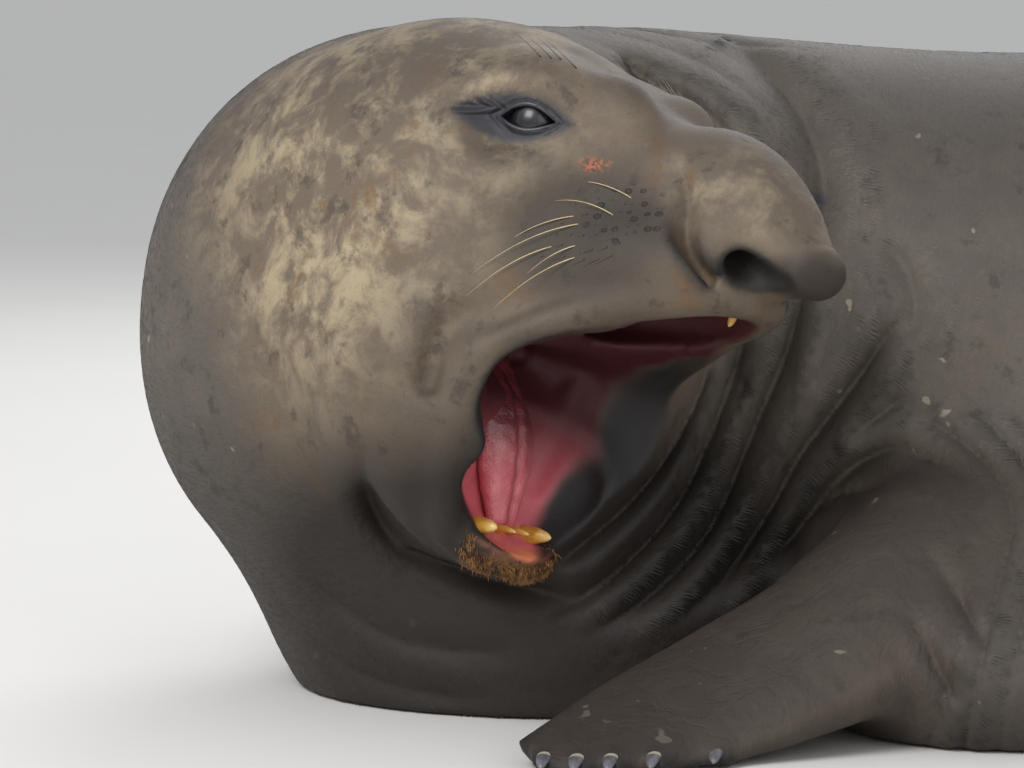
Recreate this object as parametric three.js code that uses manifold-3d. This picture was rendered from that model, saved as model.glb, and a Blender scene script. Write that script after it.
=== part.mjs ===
// A bull elephant seal at rest on a beach, roaring over its left shoulder, as a life-size model.
// Millimetres, +Z up. The trunk lies along +X, the tail at the far end, and the head is turned back to face +X.
// The flesh is one smooth blend of round bodies, meshed cell by cell and then parted by thin cuts.
import * as THREE from "three";
import { mergeVertices } from "three/addons/utils/BufferGeometryUtils.js";
import Module from "manifold-3d";

const wasm = await Module();
wasm.setup();

const GAP = 0.3; // between pieces that touch
const COAT = 6; // depth of the coat over the skin
const TRUNK_CELL = 108; // mesh size of the big round masses
const NECK_CELL = 84;
const HEAD_CELL = 37;
const CREASE_CELL = 75;
const CHEST_END = 620;
const FACETS = { flipper: 12, soft: 10, spike: 7, eyeAround: 12, eyeDown: 9 }; // round the small pieces
const TRUNK_ENDS = { forebody: 1300, belly: 2050, hips: 2750, tail_root: 3500 };

// The head has its own frame: forward along the snout, left, and up, from the point between the eyes.
const BETWEEN_EYES = new THREE.Vector3(88.6, 50.1, 658.9);
const FORWARD = new THREE.Vector3(0.782, -0.622, -0.04).normalize();
const LEFT = new THREE.Vector3(0.6, 0.77, -0.22).projectOnPlane(FORWARD).normalize();
const UP = new THREE.Vector3().crossVectors(FORWARD, LEFT);
const HEAD_FRAME = new THREE.Matrix4().makeBasis(FORWARD, LEFT, UP).setPosition(BETWEEN_EYES);
const TO_HEAD = HEAD_FRAME.clone().invert();

// The eyeball is seated deep: the opening bored to it is narrower than the ball.
const EYE = { radius: 31, at: [4, 108, 0], opening: 26, bore: 80 };
const EYE_HOLLOW = [[16, 188, -4], [64, 58, 48]];

// Widths over which each form blends into the one before it
const BLEND = {
  cheek: 80,
  jaw: 50,
  face: 60,
  nose: 26,
  lip: 40,
  pad: 32,
  brow: 35,
  frontBrow: 22,
  eyeHollow: 25,
  mouth: 20,
  rim: 18,
  chest: 100,
  shoulder: 90,
  arm: 70,
  neck: 55,
};

// Blends two distances into one smooth surface, over a width k.
function blend(a, b, k) {
  const h = Math.min(1, Math.max(0, 0.5 + (0.5 * (b - a)) / k));
  return b + (a - b) * h - k * h * (1 - h);
}

// Cuts the second shape out of the first, with an edge rounded over k.
function carve(a, b, k) {
  return -blend(-a, b, k);
}

// The distance to an ellipsoid, exact at its surface.
function ellipsoid(p, [cx, cy, cz], [rx, ry, rz]) {
  const x = p.x - cx;
  const y = p.y - cy;
  const z = p.z - cz;
  const k0 = Math.hypot(x / rx, y / ry, z / rz);
  const k1 = Math.hypot(x / rx ** 2, y / ry ** 2, z / rz ** 2);
  return k1 > 1e-9 ? (k0 * (k0 - 1)) / k1 : -Math.min(rx, ry, rz);
}

const TIP_BULGE = 0.6; // how far a thin piece's ends stand out, in its half thickness

// A fleshy tube through named sections: [x, y, z, half width, half height] at each.
class Sweep {
  constructor(sections, { up = [0, 0, 1], power = 2, steps = 6 } = {}) {
    this.power = power;
    const curve = (pick) => new THREE.CatmullRomCurve3(sections.map(pick), false, "catmullrom", 0.5);
    const line = curve(([x, y, z]) => new THREE.Vector3(x, y, z));
    const size = curve(([, , , w, h]) => new THREE.Vector3(w, h, 0));
    const count = (sections.length - 1) * steps;
    this.rows = Array.from({ length: count + 1 }, (_, i) => {
      const t = i / count;
      const along = line.getTangent(t);
      const side = new THREE.Vector3(...up).cross(along).normalize();
      const extent = size.getPoint(t);
      return {
        centre: line.getPoint(t),
        along,
        side,
        top: new THREE.Vector3().crossVectors(along, side),
        width: extent.x,
        height: extent.y,
      };
    });
  }

  distance(p) {
    let near = Infinity;
    let at = 0;
    let share = 0;
    const q = new THREE.Vector3();
    const step = new THREE.Vector3();
    for (let i = 0; i + 1 < this.rows.length; i++) {
      step.subVectors(this.rows[i + 1].centre, this.rows[i].centre);
      q.subVectors(p, this.rows[i].centre);
      const t = Math.min(1, Math.max(0, q.dot(step) / step.lengthSq()));
      const d = q.addScaledVector(step, -t).lengthSq();
      if (d < near) [near, at, share] = [d, i, t];
    }
    const a = this.rows[at];
    const b = this.rows[at + 1];
    const mix = (key) => new THREE.Vector3().lerpVectors(a[key], b[key], share);
    const w = a.width + (b.width - a.width) * share;
    const h = a.height + (b.height - a.height) * share;
    const r = Math.min(w, h);
    q.subVectors(p, mix("centre"));
    const [x, y, z] = [q.dot(mix("side")), q.dot(mix("top")), q.dot(mix("along"))];
    const e = this.power;
    const k = (Math.abs(x / w) ** e + Math.abs(y / h) ** e + Math.abs(z / r) ** e) ** (1 / e);
    const slope = Math.hypot(x / w ** 2, y / h ** 2, z / r ** 2);
    return slope > 1e-6 ? ((k - 1) * Math.max(k, 0.3)) / slope : -r;
  }

  // The same tube as a closed geometry, for pieces that are thin.
  geometry(sides) {
    const points = [];
    const first = this.rows[0];
    const last = this.rows[this.rows.length - 1];
    const turn = (j) => (j * 2 * Math.PI) / sides;
    for (const { centre, side, top, width, height } of this.rows)
      for (let j = 0; j < sides; j++)
        points.push(centre.clone()
          .addScaledVector(side, Math.cos(turn(j)) * width)
          .addScaledVector(top, Math.sin(turn(j)) * height));
    const tip = ({ centre, along, width, height }, way) =>
      centre.clone().addScaledVector(along, way * TIP_BULGE * Math.min(width, height));
    points.push(tip(first, -1), tip(last, 1));
    const faces = [];
    const rings = this.rows.length;
    for (let j = 0; j < sides; j++) {
      const k = (j + 1) % sides;
      faces.push([points.length - 2, k, j]);
      faces.push([points.length - 1, (rings - 1) * sides + j, (rings - 1) * sides + k]);
      for (let i = 0; i + 1 < rings; i++) {
        const [a, b, c, d] = [i * sides + j, i * sides + k, (i + 1) * sides + k, (i + 1) * sides + j];
        faces.push([a, b, c], [a, c, d]);
      }
    }
    return meshGeometry(points, faces);
  }
}

function meshGeometry(points, faces) {
  return new THREE.BufferGeometry().setFromPoints(points).setIndex(faces.flat());
}

// Trunk and neck, from the bend of the neck back to the root of the tail.
const TRUNK = new Sweep([
  [-83, 360, 428, 352, 356],
  [170, 500, 400, 355, 376],
  [560, 540, 352, 412, 396],
  [1050, 610, 342, 465, 408],
  [1550, 720, 335, 472, 400],
  [2100, 820, 292, 402, 342],
  [2600, 870, 215, 292, 245],
  [3000, 870, 146, 192, 160],
  [3280, 830, 100, 108, 92],
], { power: 2.15 });
const CHEST = [[55, 360, 110], [342, 300, 260]];
const SHOULDER = [[640, 190, 120], [280, 245, 200]];
const UPPER_ARM = [[565, 74, 75], [240, 225, 140]]; // the left one, where the fore flipper leaves the flank

const FACE = new Sweep([
  [-80, 0, -55, 165, 135],
  [30, 0, -58, 126, 112],
  [120, 0, -82, 98, 96],
  [200, 0, -112, 84, 78],
]);

const NOSE = new Sweep([
  [125, 0, -38, 62, 60],
  [180, 0, -45, 70, 70],
  [225, 0, -66, 74, 70],
  [282, 0, -103, 62, 54],
  [323, 0, -120, 41, 31],
]);
const WHISKER_PAD = [[135, 66, -142], [112, 60, 62]];
const LIP = [[55, 84, -178], [98, 56, 74]];
const BROW = [[-15, 98, 32], [80, 48, 46]];
const FRONT_BROW = [[66, 58, 14], [54, 42, 51]];
const CHEEK = [[-105, 78, -240], [170, 122, 195]];
const CRANIUM = [[-165, 0, -75], [268, 202, 202]];

// The lower jaw hangs nearly straight down.
const JAW = new Sweep([
  [-150, 0, -245, 185, 130],
  [-100, 0, -348, 160, 100],
  [-72, 0, -424, 116, 66],
  [-38, 0, -458, 66, 42],
], { up: [1, 0, 0], power: 2.4 });

const MOUTH = new Sweep([
  [-70, 0, -245, 45, 16],
  [10, 0, -283, 130, 56],
  [90, 0, -318, 190, 122],
  [210, 0, -385, 205, 215],
], { up: [0.4, 0, 0.92], power: 2.5 });
const MOUTH_FLOOR = [[0, 0, -375], [58, 112, 92]];
const PALATE = [[130, 0, -192], [115, 78, 36]];
// How far left the far cheek's rim lies, by height. Past it the neck closes in behind the open mouth.
const RIM_HEIGHTS = [-490, -475, -454, -424, -390, -340, -266, -240, -210, -184, -170];
const RIM_LEFTS = [20, 50, 80, 98, 122, 142, 152, 142, 125, 90, 40];
const RIM_CLEARANCE = 24;

const tongue = (grown) => new Sweep([
  [-95, 0, -262, 40, 22],
  [-60, 0, -318, 46, 25],
  [-44, 0, -380, 40, 22],
  [-36, 0, -430, 24, 12],
].map(([x, y, z, w, h]) => [x, y, z, w + grown, h + grown]), { up: [1, 0, 0.3], steps: 3 });

// The left fore flipper is tilted on its trailing edge beside the head, and the right one mirrors it.
const LEFT_FORE_FLIPPER = [
  [470, 80, 180, 104, 92],
  [388, -15, 122, 118, 74],
  [285, -65, 78, 116, 52],
  [192, -112, 46, 104, 34],
  [110, -168, 26, 80, 20],
  [36, -216, 12, 48, 11],
];
const FORE_FLIPPER_UP = [0.06, -0.3, 0.92];
const CLAW_TIPS = [[30, -250], [64, -262], [100, -260], [146, -249], [214, -220]];
const CLAW = { radius: 7.5, tipHeight: 9, root: [6, 26, 9] };
const MIDLINE = { y: 393, slope: 0.19 }; // of the chest, seen from above
const across = (x, y) => 2 * (MIDLINE.y + MIDLINE.slope * x) - y;

// The hind flippers trail behind with their palms together.
const hindFlipper = (way, grown) => new Sweep([
  [3190, 838 + way * 50, 104, 42, 62],
  [3330, 828 + way * 52, 110, 32, 78],
  [3470, 814 + way * 44, 120, 22, 104],
  [3610, 802 + way * 36, 130, 15, 122],
  [3740, 794 + way * 30, 138, 9, 116],
  [3785, 791 + way * 26, 138, 5, 88],
].map(([x, y, z, w, h]) => [x, y, z, w + grown, h + grown]), { steps: 2 });

const tail = (grown) => new Sweep([
  [3180, 838, 184, 44, 26],
  [3290, 830, 210, 26, 18],
  [3350, 826, 216, 13, 11],
].map(([x, y, z, w, h]) => [x, y, z, w + grown, h + grown]), { steps: 2 });

const TEETH = {
  lower_canine: { root: [-52, 42, -448], tip: [-4, 50, -443], radius: 10 },
  lower_incisor: { root: [-46, 10, -444], tip: [-4, 12, -443], radius: 5 },
  upper_canine: { root: [196, 46, -156], tip: [192, 47, -184], radius: 7 },
};

// The back of the head and the cheeks, which run into the neck.
function headMass(h) {
  const mirrored = new THREE.Vector3(h.x, Math.abs(h.y), h.z);
  const f = blend(ellipsoid(h, ...CRANIUM), ellipsoid(mirrored, ...CHEEK), BLEND.cheek);
  return blend(f, JAW.distance(h), BLEND.jaw);
}

function headDistance(h) {
  const mirrored = new THREE.Vector3(h.x, Math.abs(h.y), h.z);
  let f = blend(headMass(h), FACE.distance(h), BLEND.face);
  f = blend(f, NOSE.distance(h), BLEND.nose);
  f = blend(f, ellipsoid(mirrored, ...LIP), BLEND.lip);
  f = blend(f, ellipsoid(mirrored, ...WHISKER_PAD), BLEND.pad);
  f = blend(f, ellipsoid(mirrored, ...BROW), BLEND.brow);
  f = blend(f, ellipsoid(mirrored, ...FRONT_BROW), BLEND.frontBrow);
  return carve(f, ellipsoid(mirrored, ...EYE_HOLLOW), BLEND.eyeHollow);
}

function trunkDistance(p) {
  let f = blend(TRUNK.distance(p), ellipsoid(p, ...CHEST), BLEND.chest);
  f = blend(f, ellipsoid(p, ...SHOULDER), BLEND.shoulder);
  const mirrored = new THREE.Vector3(p.x, Math.min(p.y, across(p.x, p.y)), p.z);
  return blend(f, ellipsoid(mirrored, ...UPPER_ARM), BLEND.arm);
}

function between(value, places, results) {
  const last = places.length - 1;
  if (value <= places[0]) return results[0];
  if (value >= places[last]) return results[last];
  const i = places.findIndex((place) => place > value) - 1;
  const share = (value - places[i]) / (places[i + 1] - places[i]);
  return results[i] + (results[i + 1] - results[i]) * share;
}

function mouthDistance(h) {
  let f = blend(MOUTH.distance(h), ellipsoid(h, ...MOUTH_FLOOR), BLEND.mouth);
  f = blend(f, ellipsoid(h, ...PALATE), BLEND.mouth);
  const beyond = h.y - between(h.z, RIM_HEIGHTS, RIM_LEFTS) - RIM_CLEARANCE;
  return -blend(-f, -beyond, BLEND.mouth);
}

const toHead = (p) => p.clone().applyMatrix4(TO_HEAD);

// The flesh out to the tips of the coat, with the given form of the head, and the open mouth cut into it.
const fleshDistance = (head) => (p) => {
  const h = toHead(p);
  return carve(blend(trunkDistance(p), head(h), BLEND.neck), mouthDistance(h), BLEND.rim) - COAT;
};

// Below nought on the head's side of the crease between the head and the trunk.
const creaseDistance = (p) => headDistance(toHead(p)) - trunkDistance(p);

// Meshes the surface where a distance is nought: one point in each cell that it crosses, moved onto it.
function surface(distance, low, high, cell) {
  const n = ["x", "y", "z"].map((k) => Math.ceil((high[k] - low[k]) / cell) + 1);
  const index = (i, j, k) => (i * n[1] + j) * n[2] + k;
  const corner = (i, j, k) => new THREE.Vector3(i, j, k).multiplyScalar(cell).add(low);
  const value = new Float64Array(n[0] * n[1] * n[2]);
  for (let i = 0; i < n[0]; i++)
    for (let j = 0; j < n[1]; j++)
      for (let k = 0; k < n[2]; k++) {
        const edge = [i, j, k].some((c, axis) => c === 0 || c === n[axis] - 1);
        value[index(i, j, k)] = edge ? cell : distance(corner(i, j, k)) || 1e-6;
      }
  const steps = [[1, 0, 0], [0, 1, 0], [0, 0, 1]];
  unpinch(value, n, steps.map((step) => index(...step)));
  const points = [];
  const pointOf = new Map();
  for (let i = 0; i + 1 < n[0]; i++)
    for (let j = 0; j + 1 < n[1]; j++)
      for (let k = 0; k + 1 < n[2]; k++) {
        const sum = new THREE.Vector3();
        let crossings = 0;
        for (let c = 0; c < 8; c++)
          for (const [axis, [di, dj, dk]] of steps.entries()) {
            if ((c >> axis) & 1) continue;
            const [a, b, d] = [i + (c & 1), j + ((c >> 1) & 1), k + ((c >> 2) & 1)];
            const va = value[index(a, b, d)];
            const vb = value[index(a + di, b + dj, d + dk)];
            if (va > 0 === vb > 0) continue;
            sum.add(corner(a, b, d).addScaledVector(new THREE.Vector3(di, dj, dk), (cell * va) / (va - vb)));
            crossings++;
          }
        if (!crossings) continue;
        pointOf.set(index(i, j, k), points.length);
        points.push(settle(sum.divideScalar(crossings), distance, cell));
      }
  const faces = [];
  for (let i = 0; i + 1 < n[0]; i++)
    for (let j = 0; j + 1 < n[1]; j++)
      for (let k = 0; k + 1 < n[2]; k++)
        for (const [axis, [di, dj, dk]] of steps.entries()) {
          const va = value[index(i, j, k)];
          const vb = value[index(i + di, j + dj, k + dk)];
          if (va > 0 === vb > 0) continue;
          const [u, v] = [steps[(axis + 1) % 3], steps[(axis + 2) % 3]];
          const around = [[1, 1], [0, 1], [0, 0], [1, 0]].map(([s, t]) =>
            pointOf.get(index(i - s * u[0] - t * v[0], j - s * u[1] - t * v[1], k - s * u[2] - t * v[2])));
          const [a, b, c, d] = va < 0 ? around : around.reverse();
          const shortFirst = points[a].distanceTo(points[c]) < points[b].distanceTo(points[d]);
          faces.push(...(shortFirst ? [[a, b, c], [a, c, d]] : [[a, b, d], [b, c, d]]));
        }
  return meshGeometry(points, faces);
}

// Where inside and outside alternate round a square of the grid, the surface would pinch to a shared edge,
// so the shallower of the inside corners is moved outside.
function unpinch(value, n, strides) {
  const inner = n.map((count) => count - 1);
  let pinched = true;
  while (pinched) {
    pinched = false;
    for (let i = 0; i < inner[0]; i++)
      for (let j = 0; j < inner[1]; j++)
        for (let k = 0; k < inner[2]; k++)
          for (const [u, v] of [[0, 1], [1, 2], [2, 0]]) {
            const at = i * strides[0] + j * strides[1] + k * strides[2];
            const corners = [at, at + strides[u], at + strides[u] + strides[v], at + strides[v]];
            const inside = corners.filter((c) => value[c] < 0);
            if (inside.length !== 2) continue;
            if (Math.abs(corners.indexOf(inside[0]) - corners.indexOf(inside[1])) !== 2) continue;
            const shallow = value[inside[0]] > value[inside[1]] ? inside[0] : inside[1];
            value[shallow] = 1e-6;
            pinched = true;
          }
  }
}

const SETTLE = { reach: 0.45, probe: 1, turns: 3, leastSlope: 0.05 }; // the reach in cells

// Moves a point along the slope of the distance onto its surface, within its own cell.
function settle(point, distance, cell) {
  const start = point.clone();
  const reach = SETTLE.reach * cell;
  const { probe } = SETTLE;
  for (let turn = 0; turn < SETTLE.turns; turn++) {
    const f = distance(point);
    const slope = new THREE.Vector3();
    for (const key of ["x", "y", "z"]) {
      const moved = point.clone();
      moved[key] += probe;
      slope[key] = (distance(moved) - f) / probe;
    }
    point.addScaledVector(slope, -f / Math.max(slope.lengthSq(), SETTLE.leastSlope));
    point.sub(start).clampLength(0, reach).add(start);
  }
  return point;
}

function solid(geometry) {
  const bare = mergeVertices(stripped(geometry), 1e-3);
  return new wasm.Manifold(new wasm.Mesh({
    numProp: 3,
    vertProperties: new Float32Array(bare.attributes.position.array),
    triVerts: new Uint32Array(bare.index.array),
  }));
}

// Only the positions of a geometry, so that its shared corners can merge.
function stripped(geometry) {
  const bare = geometry.clone();
  bare.deleteAttribute("normal");
  bare.deleteAttribute("uv");
  return bare;
}

// The geometry with its faces moved inwards by the gap.
function inset(geometry) {
  const moved = stripped(geometry);
  moved.computeVertexNormals();
  const { position, normal } = moved.attributes;
  for (let i = 0; i < position.array.length; i++) position.array[i] -= GAP * normal.array[i];
  return moved;
}

function shape(made) {
  const { numProp, vertProperties, triVerts } = made.getMesh();
  const positions = new Float32Array((vertProperties.length / numProp) * 3);
  for (let i = 0; i < positions.length / 3; i++)
    positions.set(vertProperties.subarray(i * numProp, i * numProp + 3), i * 3);
  return new THREE.BufferGeometry()
    .setAttribute("position", new THREE.BufferAttribute(positions, 3))
    .setIndex(new THREE.BufferAttribute(triVerts, 1));
}

// A block between two corners, in the frame given, which parts one piece from the next.
function block(low, high, frame = new THREE.Matrix4()) {
  const size = high.map((value, axis) => value - low[axis]);
  const middle = high.map((value, axis) => (value + low[axis]) / 2);
  return solid(new THREE.BoxGeometry(...size).translate(...middle).applyMatrix4(frame));
}

// Splits a mass at a block into what is inside it and what is left, a gap apart.
function split(mass, low, high, frame) {
  const grown = block(low.map((value) => value - GAP), high.map((value) => value + GAP), frame);
  return [largest(mass.intersect(block(low, high, frame))), mass.subtract(grown)];
}

function largest(piece) {
  return piece.decompose().reduce((a, b) => (a.volume() > b.volume() ? a : b));
}

const SPIKE = { blunt: 0.16, waist: 0.75, waistAt: 0.6 }; // shares of its radius and length

// A round spike with a blunt tip, from its root to its tip; grown is the gap left round it in a socket.
function spike(root, tip, radius, grown = 0) {
  const axis = new THREE.Vector3().subVectors(tip, root);
  const length = axis.length();
  const blunt = SPIKE.blunt * radius;
  const outline = [
    [0, -grown],
    [radius + grown, -grown],
    [SPIKE.waist * radius + grown, SPIKE.waistAt * length],
    [blunt + grown, length + grown],
    [0, length + grown],
  ];
  const corners = outline.map(([r, along]) => new THREE.Vector2(r, along));
  const geometry = new THREE.LatheGeometry(corners, FACETS.spike);
  const turn = new THREE.Quaternion().setFromUnitVectors(new THREE.Vector3(0, 1, 0), axis.normalize());
  return geometry.applyQuaternion(turn).translate(root.x, root.y, root.z);
}

const FAR = 5000;
const FLOOR_UP = block([-FAR, -FAR, 0], [FAR, FAR, FAR]);
const flesh = {};
const details = {};

const vector = (values) => new THREE.Vector3(...values);
const meshed = (distance, low, high, cell) => surface(distance, vector(low), vector(high), cell);
const standing = (geometry) => solid(geometry).intersect(FLOOR_UP);

// Head, snout and lower jaw, parted from the neck along the crease
const SNOUT_START = 105; // forward of the eyes
const CUT_TILT = 0.5; // of the jaw's cut in the head's frame, and of the neck's cut on the trunk
const JAW_FRAME = HEAD_FRAME.clone().multiply(tilted([-20, 0, -318]));
const NECK_FRAME = tilted([250, 0, 420]);
const HEAD_BOX = [[-480, -340, 30], [540, 520, 960]];
const NECK_BOX = [[-560, -400, -60], [720, 1000, 960]];
const TRUNK_BOX = [[420, -200, -60], [3560, 1500, 960]];
const CREASE_REACH = 30; // of the mesh that parts the head, past the outline
const wholeFlesh = fleshDistance(headDistance);

function tilted(at) {
  return new THREE.Matrix4().makeRotationY(CUT_TILT).setPosition(...at);
}

const nearCrease = (p) => Math.max(wholeFlesh(p) - CREASE_REACH, creaseDistance(p));
const creased = meshed(nearCrease, ...HEAD_BOX, CREASE_CELL);
let rest = standing(meshed(wholeFlesh, ...HEAD_BOX, HEAD_CELL)).intersect(solid(inset(creased)));
[flesh.snout, rest] = split(largest(rest), [SNOUT_START, -FAR, -FAR], [FAR, FAR, FAR], HEAD_FRAME);
[flesh.lower_jaw, flesh.head] = split(rest, [-FAR, -FAR, -FAR], [FAR, FAR, 0], JAW_FRAME);

// Neck and trunk
rest = standing(meshed(wholeFlesh, ...NECK_BOX, NECK_CELL));
rest = rest.subtract(solid(creased));
[flesh.neck, rest] = split(rest, [-FAR, -FAR, 0], [0, FAR, FAR], NECK_FRAME);
[flesh.chest] = split(rest, [-FAR, -FAR, -FAR], [CHEST_END, FAR, FAR]);

rest = standing(meshed(fleshDistance(headMass), ...TRUNK_BOX, TRUNK_CELL));
[, rest] = split(rest, [-FAR, -FAR, -FAR], [CHEST_END, FAR, FAR]);
for (const [name, end] of Object.entries(TRUNK_ENDS))
  [flesh[name], rest] = split(rest, [-FAR, -FAR, -FAR], [end, FAR, FAR]);

// Seats a closed piece in the hosts that it stands in, each of which gets a socket that leaves the gap.
function seat(name, piece, socket, ...hosts) {
  for (const host of hosts) flesh[host] = largest(flesh[host].subtract(socket));
  details[name] = piece;
}

const mirrorInHead = ([x, y, z], way) => [x, way * y, z];
const vectorInHead = (values) => vector(values).applyMatrix4(HEAD_FRAME);
const SIDES = { left: 1, right: -1 };

for (const [side, way] of Object.entries(SIDES)) {
  const eye = vectorInHead(mirrorInHead(EYE.at, way));
  const ball = (radius) =>
    new THREE.SphereGeometry(radius, FACETS.eyeAround, FACETS.eyeDown).translate(eye.x, eye.y, eye.z);
  const sight = eye.clone().addScaledVector(LEFT, way * EYE.bore);
  const opening = solid(spike(eye, sight, EYE.opening));
  seat(`eye_${side}`, solid(ball(EYE.radius)), solid(ball(EYE.radius + 2 * GAP)).add(opening), "head");

  for (const [name, { root, tip, radius }] of Object.entries(TEETH)) {
    const [from, to] = [root, tip].map((at) => vectorInHead(mirrorInHead(at, way)));
    const host = name.startsWith("lower") ? "lower_jaw" : "snout";
    seat(`${name}_${side}`, solid(spike(from, to, radius)), solid(spike(from, to, radius, GAP)), host);
  }
}

// Fore flippers with their claws
for (const [side, way] of Object.entries(SIDES)) {
  const placed = ([x, y, ...rest]) => [x, way > 0 ? y : across(x, y), ...rest];
  const [upX, upY, upZ] = FORE_FLIPPER_UP;
  const sweep = (grown) => new Sweep(
    LEFT_FORE_FLIPPER.map(placed).map(([x, y, z, w, h]) => [x, y, z, w + grown, h + grown]),
    { up: [upX, way * upY, upZ], steps: 2 }).geometry(FACETS.flipper);
  seat(`fore_flipper_${side}`, standing(sweep(0)), solid(sweep(GAP)), "chest", "forebody");
  for (const [i, tip] of CLAW_TIPS.entries()) {
    const tip3 = [...tip, CLAW.tipHeight];
    const [to, from] = [tip3, tip3.map((value, axis) => value + CLAW.root[axis])].map((at) => vector(placed(at)));
    const socket = solid(spike(from, to, CLAW.radius, GAP));
    details[`fore_flipper_${side}`] = largest(details[`fore_flipper_${side}`].subtract(socket));
    details[`claw_${side}_${i + 1}`] = solid(spike(from, to, CLAW.radius));
  }
}

// Tail and hind flippers
for (const [side, way] of Object.entries(SIDES)) {
  const sweep = (grown) => hindFlipper(-way, grown).geometry(FACETS.flipper);
  seat(`hind_flipper_${side}`, standing(sweep(0)), solid(sweep(GAP)), "tail_root");
}
seat("tail", solid(tail(0).geometry(FACETS.soft)), solid(tail(GAP).geometry(FACETS.soft)), "tail_root");
const tongueForm = (grown) => tongue(grown).geometry(FACETS.soft).applyMatrix4(HEAD_FRAME);
seat("tongue", solid(tongueForm(0)), solid(tongueForm(2 * GAP)), "lower_jaw", "head", "neck", "chest");

const COLOURS = {
  eye: [0x101012, 0.1],
  claw: [0x5d6066, 0.5],
  lower: [0xd9a93c, 0.45],
  upper: [0xd9a93c, 0.45],
  tongue: [0xc0566a, 0.35],
  lower_jaw: [0x6f655a, 0.75],
  head: [0x8a7c68, 0.75],
  snout: [0x85786a, 0.75],
  fore: [0x3f3934, 0.7],
  hind: [0x3f3934, 0.7],
};
const HIDE = [0x5c554e, 0.8];

function material(name) {
  const [colour, roughness] = COLOURS[name] ?? COLOURS[name.split("_")[0]] ?? HIDE;
  return new THREE.MeshStandardMaterial({ color: colour, roughness, metalness: 0 });
}

// The model stands on the floor with the middle of its outline over the origin.
const seal = new THREE.Group();
for (const [name, piece] of Object.entries({ ...flesh, ...details })) {
  const mesh = new THREE.Mesh(shape(piece), material(name));
  mesh.name = name;
  seal.add(mesh);
}
const extent = new THREE.Box3().setFromObject(seal);
const centre = extent.getCenter(new THREE.Vector3());
seal.position.set(-centre.x, -centre.y, -extent.min.z);

export default seal;
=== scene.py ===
"""The looks of a life-size bull elephant seal: skin, coat, eyes, mouth, claws, whiskers and the stage.

The skin is one surface where a distance field is nought, a coat's depth inside the CAD solids.
Metres throughout; the tables of sections are in millimetres and pass through mm().
"""

import math

import bpy
import numpy as np
import openvdb
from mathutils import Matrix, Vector


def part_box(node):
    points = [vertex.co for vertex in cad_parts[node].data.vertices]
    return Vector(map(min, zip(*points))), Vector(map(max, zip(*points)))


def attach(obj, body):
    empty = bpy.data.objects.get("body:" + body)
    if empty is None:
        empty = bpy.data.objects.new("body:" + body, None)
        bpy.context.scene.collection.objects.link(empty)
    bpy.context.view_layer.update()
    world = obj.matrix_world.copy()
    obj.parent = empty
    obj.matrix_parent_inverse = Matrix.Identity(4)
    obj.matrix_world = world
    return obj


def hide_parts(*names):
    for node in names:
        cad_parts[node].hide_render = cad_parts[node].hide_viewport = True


bl_info = {
    "name": "Elephant seal model",
    "version": (1, 0, 0),
    "blender": (4, 5, 0),
    "location": "View3D > Sidebar > Seal",
    "description": "Builds a life-size bull elephant seal round its packed solids",
    "category": "Object",
}

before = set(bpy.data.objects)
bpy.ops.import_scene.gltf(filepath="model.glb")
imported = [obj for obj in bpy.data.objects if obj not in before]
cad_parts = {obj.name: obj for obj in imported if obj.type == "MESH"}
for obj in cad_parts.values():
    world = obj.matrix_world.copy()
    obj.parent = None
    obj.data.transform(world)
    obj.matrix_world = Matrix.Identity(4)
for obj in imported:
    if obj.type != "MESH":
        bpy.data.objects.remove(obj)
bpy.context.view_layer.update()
FLESH = ("snout", "lower_jaw", "head", "neck", "chest", "forebody", "belly", "hips", "tail_root",
         "fore_flipper_left", "fore_flipper_right", "hind_flipper_left", "hind_flipper_right", "tail")
SIDES = {"left": 1, "right": -1}
TINY = 1e-9  # keeps a division by a length of nought from failing
FLATTEST = 1e-6  # and one by a slope
SCREEN_GAMMA = 2.2


def mm(values):
    """A table in millimetres as an array in metres."""
    return np.array(values, float) / 1000


def unit(vector):
    vector = np.asarray(vector, float)
    return vector / np.maximum(np.linalg.norm(vector, axis=-1, keepdims=True), TINY)


def tint(red, green, blue):
    """A colour given as it shows on a screen, 0 to 255, as the linear colour that a shader takes."""
    return tuple(round((c / 255) ** SCREEN_GAMMA, 4) for c in (red, green, blue))


# The head's own frame: forward along the snout, left and up, from the point between the eyes.
FORWARD = unit([0.782, -0.622, -0.04])
LEFTWARD = np.array([0.6, 0.77, -0.22])
LEFT = unit(LEFTWARD - FORWARD * (LEFTWARD @ FORWARD))
UP = np.cross(FORWARD, LEFT)
HEAD_AXES = np.stack([FORWARD, LEFT, UP])
BETWEEN_EYES = mm([88.6, 50.1, 658.9])
EYE = mm([4, 108, 0])
EYE_RADIUS = 0.031


def middle(node):
    low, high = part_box(node)
    return (np.array(low) + np.array(high)) / 2


# From the frame that the shape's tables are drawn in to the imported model's.
OFFSET = (middle("eye_left") + middle("eye_right")) / 2 - EYE[0] * FORWARD - BETWEEN_EYES


# Below, h is a place in the head's frame, and m the same with the right side laid over the left.

def to_head(points):
    return (points - BETWEEN_EYES) @ HEAD_AXES.T


def from_head(points):
    return np.asarray(points, float) @ HEAD_AXES + BETWEEN_EYES


# Ways to join round shapes, all on arrays of points.

def smooth_min(a, b, width):
    share = np.clip(0.5 + 0.5 * (b - a) / width, 0, 1)
    return b + (a - b) * share - width * share * (1 - share)


def smooth_max(a, b, width):
    return -smooth_min(-a, -b, width)


def carved(a, b, width):
    """The first shape with the second cut out of it."""
    return smooth_max(a, -b, width)


def ramp(value, low, high):
    """0 below low, 1 above high, and smooth between."""
    t = np.clip((value - low) / (high - low), 0, 1)
    return t * t * (3 - 2 * t)


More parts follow.
